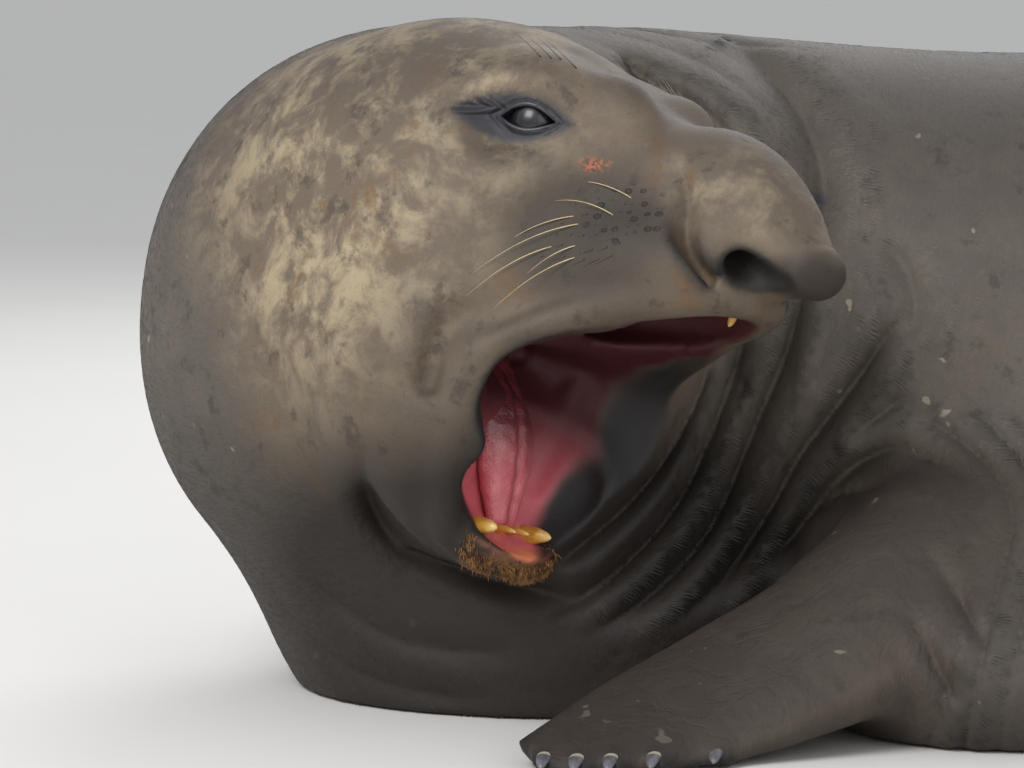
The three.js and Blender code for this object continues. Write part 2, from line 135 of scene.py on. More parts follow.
def ellipsoid(points, centre, radii):
    offset = points - centre
    near = np.linalg.norm(offset / radii, axis=1)
    slope = np.linalg.norm(offset / radii**2, axis=1)
    return near * (near - 1) / np.maximum(slope, FLATTEST)


def through(rows, count):
    """A smooth curve through the rows of a table, as count rows."""
    last = len(rows) - 1
    t = np.linspace(0, last, count)
    i = np.clip(t.astype(int), 0, last - 1)
    f = (t - i)[:, None]
    padded = np.vstack([2 * rows[0] - rows[1], rows, 2 * rows[-1] - rows[-2]])
    a, b, c, d = (padded[i + k] for k in range(4))
    square = (2 * a - 5 * b + 4 * c - d) * f**2
    cube = (3 * b - a - 3 * c + d) * f**3
    return 0.5 * (2 * b + (c - a) * f + square + cube)


class Limb:
    """A fleshy tube through sections of x, y, z, half width and half height."""

    REACH = 0.13  # further off than this a limb blends with nothing
    FAR = 1.0  # the distance that is given there
    CORE = 0.3  # nearer the middle line than this share of the size the distance falls in proportion

    def __init__(self, sections, up=(0, 0, 1), power=2.0, steps=6):
        rows = through(mm(sections), (len(sections) - 1) * steps + 1)
        self.centre = rows[:, :3]
        self.size = rows[:, 3:5]
        self.power = power
        self.along = unit(np.gradient(self.centre, axis=0))
        self.side = unit(np.cross(up, self.along))
        self.top = np.cross(self.along, self.side)
        self.step = np.diff(self.centre, axis=0)
        self.length = np.linalg.norm(self.step, axis=1)
        self.start = np.concatenate([[0], np.cumsum(self.length)])
        spread = self.size.max() + self.REACH
        self.low = self.centre.min(0) - spread
        self.high = self.centre.max(0) + spread

    def nearest(self, points):
        """How far along each point is, its place sideways, upwards and past the ends, and the size there."""
        rise = points @ self.step.T - (self.centre[:-1] * self.step).sum(1)
        t = np.clip(rise / self.length**2, 0, 1)
        gap = -2 * points @ self.centre[:-1].T + (self.centre[:-1] ** 2).sum(1)
        gap += t * (t * self.length**2 - 2 * rise)
        i = gap.argmin(1)
        t = t[np.arange(len(i)), i][:, None]

        def here(rows):
            return rows[i] * (1 - t) + rows[i + 1] * t

        offset = points - here(self.centre)
        size = here(self.size)
        place = np.stack([(offset * here(axis)).sum(1) for axis in (self.side, self.top, self.along)], 1)
        radii = np.column_stack([size, size.min(1)])
        return self.start[i] + t[:, 0] * self.length[i], place, radii

    def direction(self, points):
        """The way that the limb runs beside each point."""
        at = self.nearest(points)[0]
        return np.stack([np.interp(at, self.start, self.along[:, axis]) for axis in range(3)], 1)

    def near(self, points):
        return ((points > self.low) & (points < self.high)).all(1)

    def distance(self, points):
        far = np.full(len(points), self.FAR)
        near = self.near(points)
        if near.any():
            _, place, radii = self.nearest(points[near])
            k = (np.abs(place / radii) ** self.power).sum(1) ** (1 / self.power)
            slope = np.linalg.norm(place / radii**2, axis=1)
            far[near] = (k - 1) * np.maximum(k, self.CORE) / np.maximum(slope, FLATTEST)
        return far


# The body, as in the CAD solids
TRUNK = Limb([
    [-83, 360, 428, 352, 356],
    [170, 500, 400, 355, 376],
    [560, 540, 352, 412, 396],
    [1050, 610, 342, 465, 408],
    [1550, 720, 335, 472, 400],
    [2100, 820, 292, 402, 342],
    [2600, 870, 215, 292, 245],
    [3000, 870, 146, 192, 160],
    [3280, 830, 100, 108, 92],
], power=2.15)
CHEST = mm([[55, 360, 110], [342, 300, 260]])
SHOULDER = mm([[640, 190, 120], [280, 245, 200]])
UPPER_ARM = mm([[565, 74, 75], [240, 225, 140]])
MIDLINE = (0.393, 0.19)  # of the chest from above: y at x = 0, and its slope


def across(x, y):
    """The same place on the body's other side."""
    return 2 * (MIDLINE[0] + MIDLINE[1] * x) - y


FLIPPER_UP = (0.06, -0.3, 0.92)  # of the left one


def fore_limb(sections, way):
    placed = [[x, y if way > 0 else 1000 * across(x / 1000, y / 1000), *rest] for x, y, *rest in sections]
    return Limb(placed, up=(FLIPPER_UP[0], way * FLIPPER_UP[1], FLIPPER_UP[2]), steps=3)


def digit(wrist, tip, way):
    """The low ridge of a finger, from the wrist to the root of its claw."""
    middle_at = 0.5 * np.array(wrist) + 500 * (tip + CLAW_ROOT)
    end = 1000 * (tip + CLAW_ROOT * [1, 0.8, 0.3])
    return fore_limb([[*place, *size] for place, size in zip((wrist, middle_at, end), DIGIT_SIZES)], way)


FORE_FLIPPER = [
    [470, 80, 180, 104, 92],
    [388, -15, 122, 118, 74],
    [285, -65, 78, 116, 52],
    [192, -112, 46, 104, 34],
    [110, -168, 26, 80, 20],
    [36, -216, 12, 48, 11],
]
CLAW_TIPS = mm([[30, -250, 9], [64, -262, 9], [100, -260, 9], [146, -249, 9], [214, -220, 9]])
CLAW_ROOT = mm([6, 26, 9])
WRISTS = [[176, -96, 44], [202, -96, 46], [230, -92, 47], [258, -86, 47], [292, -76, 46]]
DIGIT_SIZES = [(22, 15), (21, 13), (17, 10)]  # half width and half height
FORE_LIMBS = {side: fore_limb(FORE_FLIPPER, way) for side, way in SIDES.items()}
DIGITS = {
    side: [digit(wrist, tip, way) for wrist, tip in zip(WRISTS, CLAW_TIPS)]
    for side, way in SIDES.items()
}


def hind_limb(way):
    return Limb([
        [3190, 838 + way * 50, 104, 42, 62],
        [3330, 828 + way * 52, 110, 32, 78],
        [3470, 814 + way * 44, 120, 22, 104],
        [3610, 802 + way * 36, 130, 15, 122],
        [3740, 794 + way * 30, 138, 9, 116],
        [3785, 791 + way * 26, 138, 5, 88],
    ], steps=3)


HIND_LIMBS = {side: hind_limb(-way) for side, way in SIDES.items()}
ALL_LIMBS = (*FORE_LIMBS.values(), *HIND_LIMBS.values())
TAIL = Limb([[3180, 838, 184, 44, 26], [3290, 830, 210, 26, 18], [3350, 826, 216, 13, 11]], steps=3)

# The head, in its own frame; what is named once here lies on the left and is mirrored.
FACE = Limb([[-80, 0, -55, 165, 135], [30, 0, -58, 126, 112], [120, 0, -82, 98, 96], [200, 0, -112, 84, 78]])
NOSE = Limb([
    [125, 0, -38, 62, 60],
    [180, 0, -45, 70, 70],
    [225, 0, -66, 74, 70],
    [282, 0, -103, 62, 54],
    [323, 0, -120, 41, 31],
])
JAW = Limb([
    [-150, 0, -245, 185, 130],
    [-100, 0, -348, 160, 100],
    [-72, 0, -424, 116, 66],
    [-38, 0, -458, 66, 42],
], up=(1, 0, 0), power=2.4)
CRANIUM = mm([[-165, 0, -75], [268, 202, 202]])
CHEEK = mm([[-105, 78, -240], [170, 122, 195]])
LIP = mm([[55, 84, -178], [98, 56, 74]])
WHISKER_PAD = mm([[135, 66, -142], [112, 60, 62]])
BROW = mm([[-15, 98, 32], [80, 48, 46]])
FRONT_BROW = mm([[66, 58, 14], [54, 42, 51]])
EYE_HOLLOW = mm([[16, 188, -4], [64, 58, 48]])
MOUTH = Limb([
    [-70, 0, -245, 45, 16],
    [10, 0, -283, 130, 56],
    [90, 0, -318, 190, 122],
    [210, 0, -385, 205, 215],
], up=(0.4, 0, 0.92), power=2.5)
MOUTH_FLOOR = mm([[0, 0, -375], [58, 112, 92]])
PALATE = mm([[130, 0, -192], [115, 78, 36]])
# How far left the far cheek's rim lies, by height. Past it the neck closes in behind the open mouth.
RIM_HEIGHTS = mm([-490, -475, -454, -424, -390, -340, -266, -240, -210, -184, -170])
RIM_LEFTS = mm([20, 50, 80, 98, 122, 142, 152, 142, 125, 90, 40])
RIM_CLEARANCE = 0.024

# Finer forms that only the skin has
UPPER_LIP = Limb([
    [6, 150, -262, 15, 15],
    [62, 142, -232, 15, 15],
    [120, 122, -202, 15, 15],
    [188, 88, -174, 14, 14],
    [236, 52, -168, 12, 12],
    [252, 0, -166, 11, 11],
], steps=4)
LOWER_LIP = Limb([
    [4, 150, -266, 15, 15],
    [-10, 143, -336, 15, 15],
    [-26, 124, -388, 15, 15],
    [-40, 100, -426, 15, 15],
    [-44, 78, -458, 14, 14],
    [-32, 48, -478, 12, 12],
    [-12, 18, -490, 11, 11],
    [-4, 0, -492, 10, 10],
], up=(1, 0, 0), steps=4)
GUM = Limb([
    [-46, 0, -456, 14, 12],
    [-52, 34, -450, 15, 13],
    [-66, 62, -432, 12, 12],
], up=(1, 0, 0), steps=4)
MUCOSA = Limb([
    [-34, 96, -270, 16, 12],
    [-44, 84, -320, 18, 14],
    [-56, 62, -384, 16, 13],
], up=(1, 0, 0), steps=4)
NOSE_WING = mm([[228, 56, -100], [40, 30, 38]])
NOSE_CREASE = Limb([
    [186, 92, -30, 6, 6],
    [200, 92, -72, 7, 7],
    [212, 86, -118, 7, 7],
    [232, 64, -154, 6, 6],
], steps=4)
NOSTRIL = Limb([
    [244, 40, -104, 12, 10],
    [262, 50, -124, 20, 16],
    [286, 50, -138, 22, 17],
    [308, 42, -146, 14, 12],
], steps=4)
CORNER_FOLD = Limb([[40, 172, -205, 7, 7], [-18, 176, -240, 9, 9], [-34, 172, -300, 8, 8]], steps=4)
LID_RADIUS = 0.0345
BALL_BACK = 0.012  # how far in front of the eye's centre the opening between the lids ends
LID_OPENING = mm([34, 16.5, 12.5])  # half length, and height above and below the sight line
SIGHT = unit([0.26, 1, -0.03])  # of the left eye, in the head's frame
ALONG_EYE = unit([1, -0.26, 0])
ABOVE_EYE = np.cross(SIGHT, -ALONG_EYE)
HEAD_MIDDLE = from_head(mm([-50, 0, -200]))
HEAD_REACH = 0.95  # further from the head's middle than this nothing of the head is worked out
ALMOND_SLOPE = 0.8  # turns a height over the lids' edge into about a distance from it

# How widely each form runs into what it grows out of, in metres
BLEND = {
    "chest": 0.1, "shoulder": 0.09, "upper_arm": 0.07, "head": 0.05, "fore_flipper": 0.035, "digit": 0.010,
    "hind_flipper": 0.03, "tail": 0.02, "floor": 0.006,
    "cheek": 0.08, "jaw": 0.05, "face": 0.06, "nose": 0.026, "lip": 0.04, "whisker_pad": 0.032, "brow": 0.035,
    "front_brow": 0.022, "eye_hollow": 0.025, "hollow": 0.02, "mouth_rim": 0.010, "lip_rim": 0.018,
    "corner_fold": 0.03, "gum": 0.012, "mucosa": 0.016, "nostril": 0.010, "lids": 0.012,
}


def mirrored(h):
    return h * [1, 0, 0] + np.abs(h) * [0, 1, 0] + h * [0, 0, 1]


def wobble(points, size):
    """A slow random-looking wave, about -1 to 1, with bumps about this size."""
    x, y, z = (points / size).T
    wave = np.sin(1.7 * x + 1.3 * np.sin(1.1 * y + 0.6)) + np.sin(1.9 * y - 1.1 * np.sin(1.3 * z + 2.1))
    return (wave + np.sin(1.6 * z + 1.2 * np.sin(1.2 * x - y) + 4.2)) / 2.2


def head_mass(h, m):
    f = smooth_min(ellipsoid(h, *CRANIUM), ellipsoid(m, *CHEEK), BLEND["cheek"])
    return smooth_min(f, JAW.distance(h), BLEND["jaw"])


def mouth_hollow(h):
    f = smooth_min(MOUTH.distance(h), ellipsoid(h, *MOUTH_FLOOR), BLEND["hollow"])
    f = smooth_min(f, ellipsoid(h, *PALATE), BLEND["hollow"])
    beyond = h[:, 1] - np.interp(h[:, 2], RIM_HEIGHTS, RIM_LEFTS) - RIM_CLEARANCE
    return smooth_max(f, beyond, BLEND["hollow"])


def eye_opening(m):
    """Below nought inside the almond between the lids, in metres across it."""
    x = (m - EYE) @ ALONG_EYE / LID_OPENING[0]
    z = (m - EYE) @ ABOVE_EYE
    height = np.where(z > 0, LID_OPENING[1], LID_OPENING[2])
    return (np.abs(z) - height * (1 - x**2)) * ALMOND_SLOPE


def face_forms(h, m, mass):
    """The head without its mouth and finer forms; mass is what head_mass says."""
    f = smooth_min(mass, FACE.distance(h), BLEND["face"])
    f = smooth_min(f, NOSE.distance(h), BLEND["nose"])
    f = smooth_min(f, ellipsoid(m, *LIP), BLEND["lip"])
    f = smooth_min(f, ellipsoid(m, *WHISKER_PAD), BLEND["whisker_pad"])
    f = smooth_min(f, ellipsoid(m, *BROW), BLEND["brow"])
    f = smooth_min(f, ellipsoid(m, *FRONT_BROW), BLEND["front_brow"])
    return carved(f, ellipsoid(m, *EYE_HOLLOW), BLEND["eye_hollow"])


CAMERA_AT = np.array([0, -4.6, 0.85])  # in the frame of the shape's tables

# Creases of the loose skin: depth and half width in mm, and their way in mm to the right and up on the
# upright plane y = 0, as they show from the camera's place.
NECK_CREASES = [
    (22, 9, [(228, 440), (217, 410), (195, 355), (161, 297), (120, 250), (67, 205), (26, 174)]),
    (28, 10, [(268, 480), (256, 441), (239, 386), (215, 325), (186, 263), (142, 207), (87, 160), (20, 123)]),
    (34, 11, [(322, 522), (316, 480), (302, 425), (274, 358), (250, 297), (225, 241), (192, 194), (137, 143),
              (65, 101)]),
    (38, 12, [(436, 476), (415, 447), (385, 402), (352, 358), (319, 313), (292, 263), (264, 218), (231, 171),
              (165, 112)]),
    (32, 13, [(446, 330), (394, 310), (355, 281), (328, 244), (300, 210), (259, 176)]),
    (13, 9, [(449, 388), (414, 364), (385, 341), (361, 317)]),
    (12, 10, [(430, 277), (369, 270), (333, 248)]),
    (12, 8, [(447, 224), (475, 185), (504, 140), (532, 89)]),
    (14, 8, [(429, 148), (454, 115), (474, 75), (502, 25)]),
    (10, 7, [(424, 103), (437, 61), (446, 14)]),
    (26, 22, [(232, 782), (245, 766), (290, 722), (323, 675), (339, 631), (345, 591), (346, 541)]),
    (20, 12, [(110, 759), (132, 737), (154, 721), (196, 702), (234, 668), (262, 620)]),
    (12, 14, [(406, 557), (433, 519), (445, 475), (434, 430)]),
    (7, 14, [(-235, 196), (-191, 146), (-125, 106), (-47, 93), (31, 97)]),
    (8, 14, [(-282, 196), (-236, 123), (-169, 70), (-80, 45), (9, 39)]),
]
FACE_CREASES = [
    (22, 15, [(-166, 347), (-162, 286), (-140, 230), (-102, 189), (-47, 167), (9, 160), (49, 174)]),
    (9, 8, [(176, 653), (189, 620), (195, 591), (193, 557), (201, 531), (220, 511), (244, 511)]),
]


class Creases:
    """How deep the skin is drawn in, by where a point shows from the camera's place."""

    STEP = 0.003
    LOW = np.array([-0.36, 0.0])
    COUNTS = np.array([330, 290])
    FADE = 0.25  # share of a crease's length over which it runs out, at both ends
    LIP = (0.14, 2.4, 1.3)  # the sides that stand out: share of the depth, how far off and how wide

    def __init__(self, lines):
        at = self.LOW + self.STEP * np.stack(np.meshgrid(*map(np.arange, self.COUNTS), indexing="ij"), -1)
        self.depth = sum(self.drawn(at, *line) for line in lines)

    def drawn(self, at, depth, width, places):
        """A crease with rounded sides that stand out a little, and that fades out at both ends."""
        path = through(mm(places), 12 * len(places))
        best = np.full(at.shape[:2], np.inf)
        along = np.zeros(at.shape[:2])
        for i, (a, step) in enumerate(zip(path, np.diff(path, axis=0))):
            t = np.clip(((at - a) @ step) / (step @ step), 0, 1)
            gap = np.linalg.norm(at - a - t[..., None] * step, axis=2)
            closer = gap < best
            along[closer] = (i + t[closer]) / (len(path) - 1)
            best[closer] = gap[closer]
        fade = ramp(along, 0, self.FADE) * ramp(1 - along, 0, self.FADE)
        off = best / (0.001 * width)
        share, away, spread = self.LIP
        sides = share * np.exp(-((off - away) / spread) ** 2)
        return 0.001 * depth * fade * (np.exp(-(off**1.3)) - sides)

    def at(self, points):
        """The depth where each point's line of sight meets the plane."""
        far = points[:, 1] - CAMERA_AT[1]
        camera = CAMERA_AT[[0, 2]]
        seen = camera + (points[:, [0, 2]] - camera) * (-CAMERA_AT[1] / far)[:, None]
        place = np.clip((seen - self.LOW) / self.STEP, 0, self.COUNTS - 1.001)
        i, j = place.astype(int).T
        f, g = (place % 1).T
        rows = self.depth[i, j] * (1 - g) + self.depth[i, j + 1] * g
        return rows * (1 - f) + (self.depth[i + 1, j] * (1 - g) + self.depth[i + 1, j + 1] * g) * f


DRAWN_NECK = Creases(NECK_CREASES)
DRAWN_FACE = Creases(FACE_CREASES)
NECK_ROLL = {"pitch": 0.058, "height": 0.024, "sharpness": 0.6, "mean": 0.8}
ARM_CREASE = {"pitch": 0.046, "height": 0.009, "sharpness": 0.5, "mean": 0.8}
FAR_SIDE = (0.40, 0.52)  # the y over which the made-up rolls take over from the drawn creases
ARM_FROM = 0.36  # the arm's creases lie behind this x


def ridges(way, form):
    """Rounded ridges with narrow creases between them, as way grows, above and below nought."""
    return np.abs(np.sin(np.pi * way / form["pitch"])) ** form["sharpness"] - form["mean"]


def neck_folds(points, mass):
    """How far the rolls of loose skin stand out round the neck, where the head is turned back over it."""
    front = 1 - ramp(points[:, 1], *FAR_SIDE)
    way = mass + 0.020 * wobble(points, 0.19) + 0.006 * wobble(points + 3, 0.07)
    inner = ramp(points[:, 0] + 0.25 * (0.5 - points[:, 2]), -0.12, 0.12)
    reach = ramp(mass, 0.0, 0.02) * (1 - ramp(mass, 0.16, 0.36))
    strength = 0.75 + 0.35 * wobble(points - 2, 0.16)
    rolls = NECK_ROLL["height"] * reach * (0.16 + 0.84 * inner) * strength * ridges(way, NECK_ROLL)
    return rolls * (1 - 0.85 * front) - DRAWN_NECK.at(points) * front


def arm_folds(points):
    """The creases behind the fore flipper, where the skin gathers against the flank."""
    depth = np.zeros(len(points))
    for limb in FORE_LIMBS.values():
        near = limb.near(points) & (points[:, 0] > ARM_FROM)
        if not near.any():
            continue
        p = points[near]
        off = limb.distance(p)
        way = off + 0.6 * (p[:, 0] - 0.45) + 0.012 * wobble(p, 0.09)
        share = ramp(off, 0.005, 0.03) * (1 - ramp(off, 0.07, 0.125)) * ramp(p[:, 0], 0.40, 0.50)
        depth[near] += ARM_CREASE["height"] * share * ridges(way, ARM_CREASE) * (1 - ramp(p[:, 2], 0.3, 0.5))
    return depth


HIND_FROM = 2.9  # the hind flippers and the tail lie behind this x
HIND_END = 3.735
RAYS = {"per_height": 2.0, "depth": 0.004, "edge": 0.008, "notch": 0.035}  # the fingers of a hind flipper


def limbs(points, body):
    """The body with its flippers and tail grown out of it."""
    for side in SIDES:
        f = FORE_LIMBS[side].distance(points)
        for finger in DIGITS[side]:
            f = smooth_min(f, finger.distance(points), BLEND["digit"])
        body = smooth_min(body, f, BLEND["fore_flipper"])
    hind = points[:, 0] > HIND_FROM
    if hind.any():
        p = points[hind]
        rear = body[hind]
        for limb in HIND_LIMBS.values():
            f = limb.distance(p)
            _, place, radii = limb.nearest(p)
            rays = np.cos(2 * np.pi * RAYS["per_height"] * place[:, 1] / radii[:, 1])
            f -= RAYS["depth"] * rays * ramp(p[:, 0], 3.3, 3.5) - RAYS["depth"] / 2
            notch = RAYS["notch"] * np.abs(place[:, 1] / radii[:, 1]) ** 2 * ramp(p[:, 0], 3.6, 3.7)
            f = np.maximum(f, p[:, 0] - HIND_END - notch - RAYS["edge"] * rays)
            rear = smooth_min(rear, f, BLEND["hind_flipper"])
        body = body.copy()
        body[hind] = smooth_min(rear, TAIL.distance(p), BLEND["tail"])
    return body


FLOOR_GAP = 0.002  # the skin's underside over the floor, hidden by the coat


def skin_distance(points):
    """The distance to the skin, a coat's depth inside the CAD solids, with its finer forms."""
    body = smooth_min(TRUNK.distance(points), ellipsoid(points, *CHEST), BLEND["chest"])
    body = smooth_min(body, ellipsoid(points, *SHOULDER), BLEND["shoulder"])
    left = points.copy()
    left[:, 1] = np.minimum(points[:, 1], across(points[:, 0], points[:, 1]))
    body = smooth_min(body, ellipsoid(left, *UPPER_ARM), BLEND["upper_arm"])
    near = np.linalg.norm(points - HEAD_MIDDLE, axis=1) < HEAD_REACH
    p = points[near]
    h = to_head(p)
    m = mirrored(h)
    mass = head_mass(h, m)
    face = face_forms(h, m, mass)
    f = smooth_min(body[near] - neck_folds(p, mass), face, BLEND["head"])
    f = smooth_min(f, UPPER_LIP.distance(m), BLEND["lip_rim"])
    f = smooth_min(f, LOWER_LIP.distance(m), BLEND["lip_rim"])
    f = smooth_min(f, ellipsoid(m, *NOSE_WING), BLEND["lip_rim"])
    f = carved(f, NOSE_CREASE.distance(m), BLEND["lip_rim"])
    f = carved(f, CORNER_FOLD.distance(m), BLEND["corner_fold"])
    f = f + DRAWN_FACE.at(from_head(m * [1, -1, 1])) * (1 - ramp(face, 0.03, 0.07))
    f = carved(f, mouth_hollow(h), BLEND["mouth_rim"])
    f = smooth_min(f, GUM.distance(m), BLEND["gum"])
    f = smooth_min(f, MUCOSA.distance(m), BLEND["mucosa"])
    f = carved(f, NOSTRIL.distance(m), BLEND["nostril"])
    from_eye = np.linalg.norm(m - EYE, axis=1)
    f = smooth_min(f, from_eye - LID_RADIUS, BLEND["lids"])
    window = np.maximum(eye_opening(m), BALL_BACK - (m - EYE) @ SIGHT)
    body[near] = np.maximum(f, -window)
    body = limbs(points, body - arm_folds(points))
    return smooth_max(body, FLOOR_GAP - points[:, 2], BLEND["floor"])


class Lattice:
    """A grid of places whose cells grow along X, past a place where the shape gets plain."""

    BLOCK = 4  # cells along the side of a block
    GROWS_OVER = 0.8  # metres along X over which the cells grow
    BAND = 3  # cells on both sides of the surface whose distances are kept
    NEAR = 6.5  # a block whose middle is further off than this many cells has no surface in it
    AT_ONCE = 150000  # places worked out together

    def __init__(self, low, high, cell, plain_from=math.inf, growth=0.0):
        xs = [low[0]]
        scales = [1.0]
        while xs[-1] < high[0]:
            scales.append(1 + growth * max(0.0, min(xs[-1] - plain_from, self.GROWS_OVER)))
            xs.append(xs[-1] + cell * scales[-1])
        counts = [len(xs), *(int((high[a] - low[a]) / cell) + 2 for a in (1, 2))]
        self.blocks = np.array([-(-count // self.BLOCK) for count in counts])
        self.xs = np.array(xs)
        self.scales = np.array(scales)
        self.cell = cell
        self.low = low
        self.side = (counts[1] - 1) / 2
        self.side_at = (low[1] + high[1]) / 2

    def place(self, index):
        """Where the given places of the grid are; they may lie between its points."""
        steps = np.arange(len(self.xs))
        x = np.interp(index[:, 0], steps, self.xs)
        size = self.cell * np.interp(index[:, 0], steps, self.scales)
        y = self.side_at + (index[:, 1] - self.side) * size
        return np.stack([x, y, self.low[2] + index[:, 2] * size], 1)

    def cell_size(self, index):
        return self.cell * self.scales[np.minimum(index[:, 0], len(self.scales) - 1)]

    def surface(self, distance):
        """Points and faces of the surface where the distance is nought, from the blocks near it alone."""
        span = self.BLOCK
        band = self.BAND
        starts = np.stack(np.meshgrid(*map(np.arange, self.blocks), indexing="ij"), -1).reshape(-1, 3) * span
        rough = distance(self.place(starts + (span - 1) / 2))
        near = np.abs(rough) < self.NEAR * self.cell_size(starts)
        inside = np.where(rough < 0, -1.0, 1.0).astype(np.float32).reshape(self.blocks)
        values = inside.repeat(span, 0).repeat(span, 1).repeat(span, 2) * band
        corner = np.stack(np.meshgrid(*[np.arange(span)] * 3, indexing="ij"), -1).reshape(-1, 3)
        index = (starts[near][:, None] + corner).reshape(-1, 3)
        for part in np.array_split(index, max(1, len(index) // self.AT_ONCE)):
            values[tuple(part.T)] = np.clip(distance(self.place(part)) / self.cell_size(part), -band, band)
        values[0] = values[-1] = band
        values[:, 0] = values[:, -1] = band
        values[:, :, 0] = values[:, :, -1] = band
        grid = openvdb.FloatGrid(band)
        grid.copyFromArray(values)
        points, triangles, quads = grid.convertToPolygons(isovalue=0.0, adaptivity=0.0)
        faces = [q[::-1] for q in quads.tolist()] + [t[::-1] for t in triangles.tolist()]
        return self.place(points), faces


PROBE = 0.0008  # how far apart the distance is read to find its slope
LONGEST_MOVE = 0.004
LEAST_SLOPE = 0.2  # squared; a flatter field moves a point no further


def settled(points, distance, turns=2):
    """The points moved along the slope of the distance onto its surface."""
    points = points.copy()
    for _ in range(turns):
        here = distance(points)
        slope = np.stack([(distance(points + PROBE * axis) - here) / PROBE for axis in np.eye(3)], 1)
        move = slope * (here / np.maximum((slope**2).sum(1), LEAST_SLOPE))[:, None]
        far = np.linalg.norm(move, axis=1, keepdims=True)
        points -= move * np.minimum(1, LONGEST_MOVE / np.maximum(far, TINY))
    return points


# Meshes and objects

def numbers_of(collection, name, width=1):
    """A property of everything in a mesh's collection, of so many numbers each."""
    values = np.empty(len(collection) * width, np.float32)
    collection.foreach_get(name, values)
    return values


def vectors_of(collection, name):
    return numbers_of(collection, name, 3).reshape(-1, 3).astype(float)


def points_of(mesh):
    return vectors_of(mesh.vertices, "co")


def place_points(mesh, points):
    mesh.vertices.foreach_set("co", np.asarray(points, np.float32).ravel())
    mesh.update()


def write(mesh, name, values):
    """Keeps a number or a vector for each point of the mesh, for its material and its coat."""
    vector = np.ndim(values) == 2
    attribute = mesh.attributes.new(name, "FLOAT_VECTOR" if vector else "FLOAT", "POINT")
    attribute.data.foreach_set("vector" if vector else "value", np.asarray(values, np.float32).ravel())


def made_mesh(name, points, faces):
    mesh = bpy.data.meshes.new(name)
    mesh.from_pydata(np.asarray(points).tolist(), [], faces)
    mesh.shade_smooth()
    return mesh


def show(name, mesh, material, replaces=()):
    piece = bpy.data.objects.new(name, mesh)
    bpy.context.scene.collection.objects.link(piece)
    if not mesh.materials:
        mesh.materials.append(material)
    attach(piece, "root")
    if replaces:
        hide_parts(*replaces)
    return piece


def evaluated_mesh(piece):
    graph = bpy.context.evaluated_depsgraph_get()
    return bpy.data.meshes.new_from_object(piece.evaluated_get(graph), depsgraph=graph)


def thinned(mesh, triangles):
    """The mesh with its flatter parts in fewer, larger faces, down to a number of triangles."""
    work = bpy.data.objects.new("work", mesh)
    bpy.context.scene.collection.objects.link(work)
    modifier = work.modifiers.new("thin", "DECIMATE")
    modifier.ratio = triangles / sum(len(f.vertices) - 2 for f in mesh.polygons)
    thin = evaluated_mesh(work)
    bpy.data.objects.remove(work)
    return thin


NO_HAIR_RUNS_SO = (0.31, 0.17, 0.93)


def tubes(paths, radii, sides):
    """Points and faces of closed round hairs along paths, each an array of points, with their radii."""
    points, faces = [], []
    turn = np.arange(sides) * 2 * np.pi / sides
    for path, radius in zip(paths, radii):
        along = unit(np.gradient(path, axis=0))
        side = unit(np.cross(along, NO_HAIR_RUNS_SO))
        top = np.cross(side, along)
        ring = (np.cos(turn)[None, :, None] * side[:, None] + np.sin(turn)[None, :, None] * top[:, None])
        first = len(points)
        points.extend((path[:, None] + ring * np.asarray(radius)[:, None, None]).reshape(-1, 3))
        for i in range(len(path) - 1):
            for j in range(sides):
                a, b = first + i * sides + j, first + i * sides + (j + 1) % sides
                faces.append([a, a + sides, b + sides, b])
        faces.append([first + j for j in range(sides)])
        end = first + (len(path) - 1) * sides
        faces.append([end + j for j in reversed(range(sides))])
    return points, faces


# Node trees

def open_socket(sockets, name):
    """The socket in use that has this name, or this place in the row."""
    used = [s for s in sockets if s.enabled]
    return used[name] if isinstance(name, int) else next(s for s in used if s.name == name)


class Wire:
    """The output of a node, so that patterns are written as plain expressions."""

    def __init__(self, graph, node, output=0):
        self.graph = graph
        self.node = node
        self.socket = open_socket(node.outputs, output)

    def out(self, name):
        """Another output of the same node."""
        return Wire(self.graph, self.node, name)

    def __add__(self, other):
        return self.graph.maths("ADD", self, other)

    def __sub__(self, other):
        return self.graph.maths("SUBTRACT", self, other)

    def __rsub__(self, other):
        return self.graph.maths("SUBTRACT", other, self)

    def __mul__(self, other):
        return self.graph.maths("MULTIPLY", self, other)

    def __truediv__(self, other):
        return self.graph.maths("DIVIDE", self, other)

    def __abs__(self):
        return self.graph.maths("ABSOLUTE", self)

    __radd__ = __add__
    __rmul__ = __mul__

    def ramp(self, low, high):
        """0 where this is at low, 1 where it is at high, and smooth between."""
        sockets = {"Value": self, "From Min": low, "From Max": high}
        return self.graph.node("ShaderNodeMapRange", {"interpolation_type": "SMOOTHSTEP"}, sockets)


class Graph:
    """Adds nodes to a tree."""

    def __init__(self, tree):
        self.tree = tree

    def maths(self, operation, *values):
        return self.node("ShaderNodeMath", {"operation": operation}, dict(enumerate(values)))

    def vectors(self, operation, a, b):
        return self.node("ShaderNodeVectorMath", {"operation": operation}, {0: a, 1: b})

    def node(self, kind, settings=None, sockets=None):
        """A new node: its settings come first, then the values or wires of its sockets."""
        made = self.tree.nodes.new(kind)
        for name, value in (settings or {}).items():
            setattr(made, name, value)
        for name, value in (sockets or {}).items():
            socket = open_socket(made.inputs, name)
            if isinstance(value, Wire):
                self.tree.links.new(value.socket, socket)
            else:
                socket.default_value = value
        return Wire(self, made) if made.outputs else made


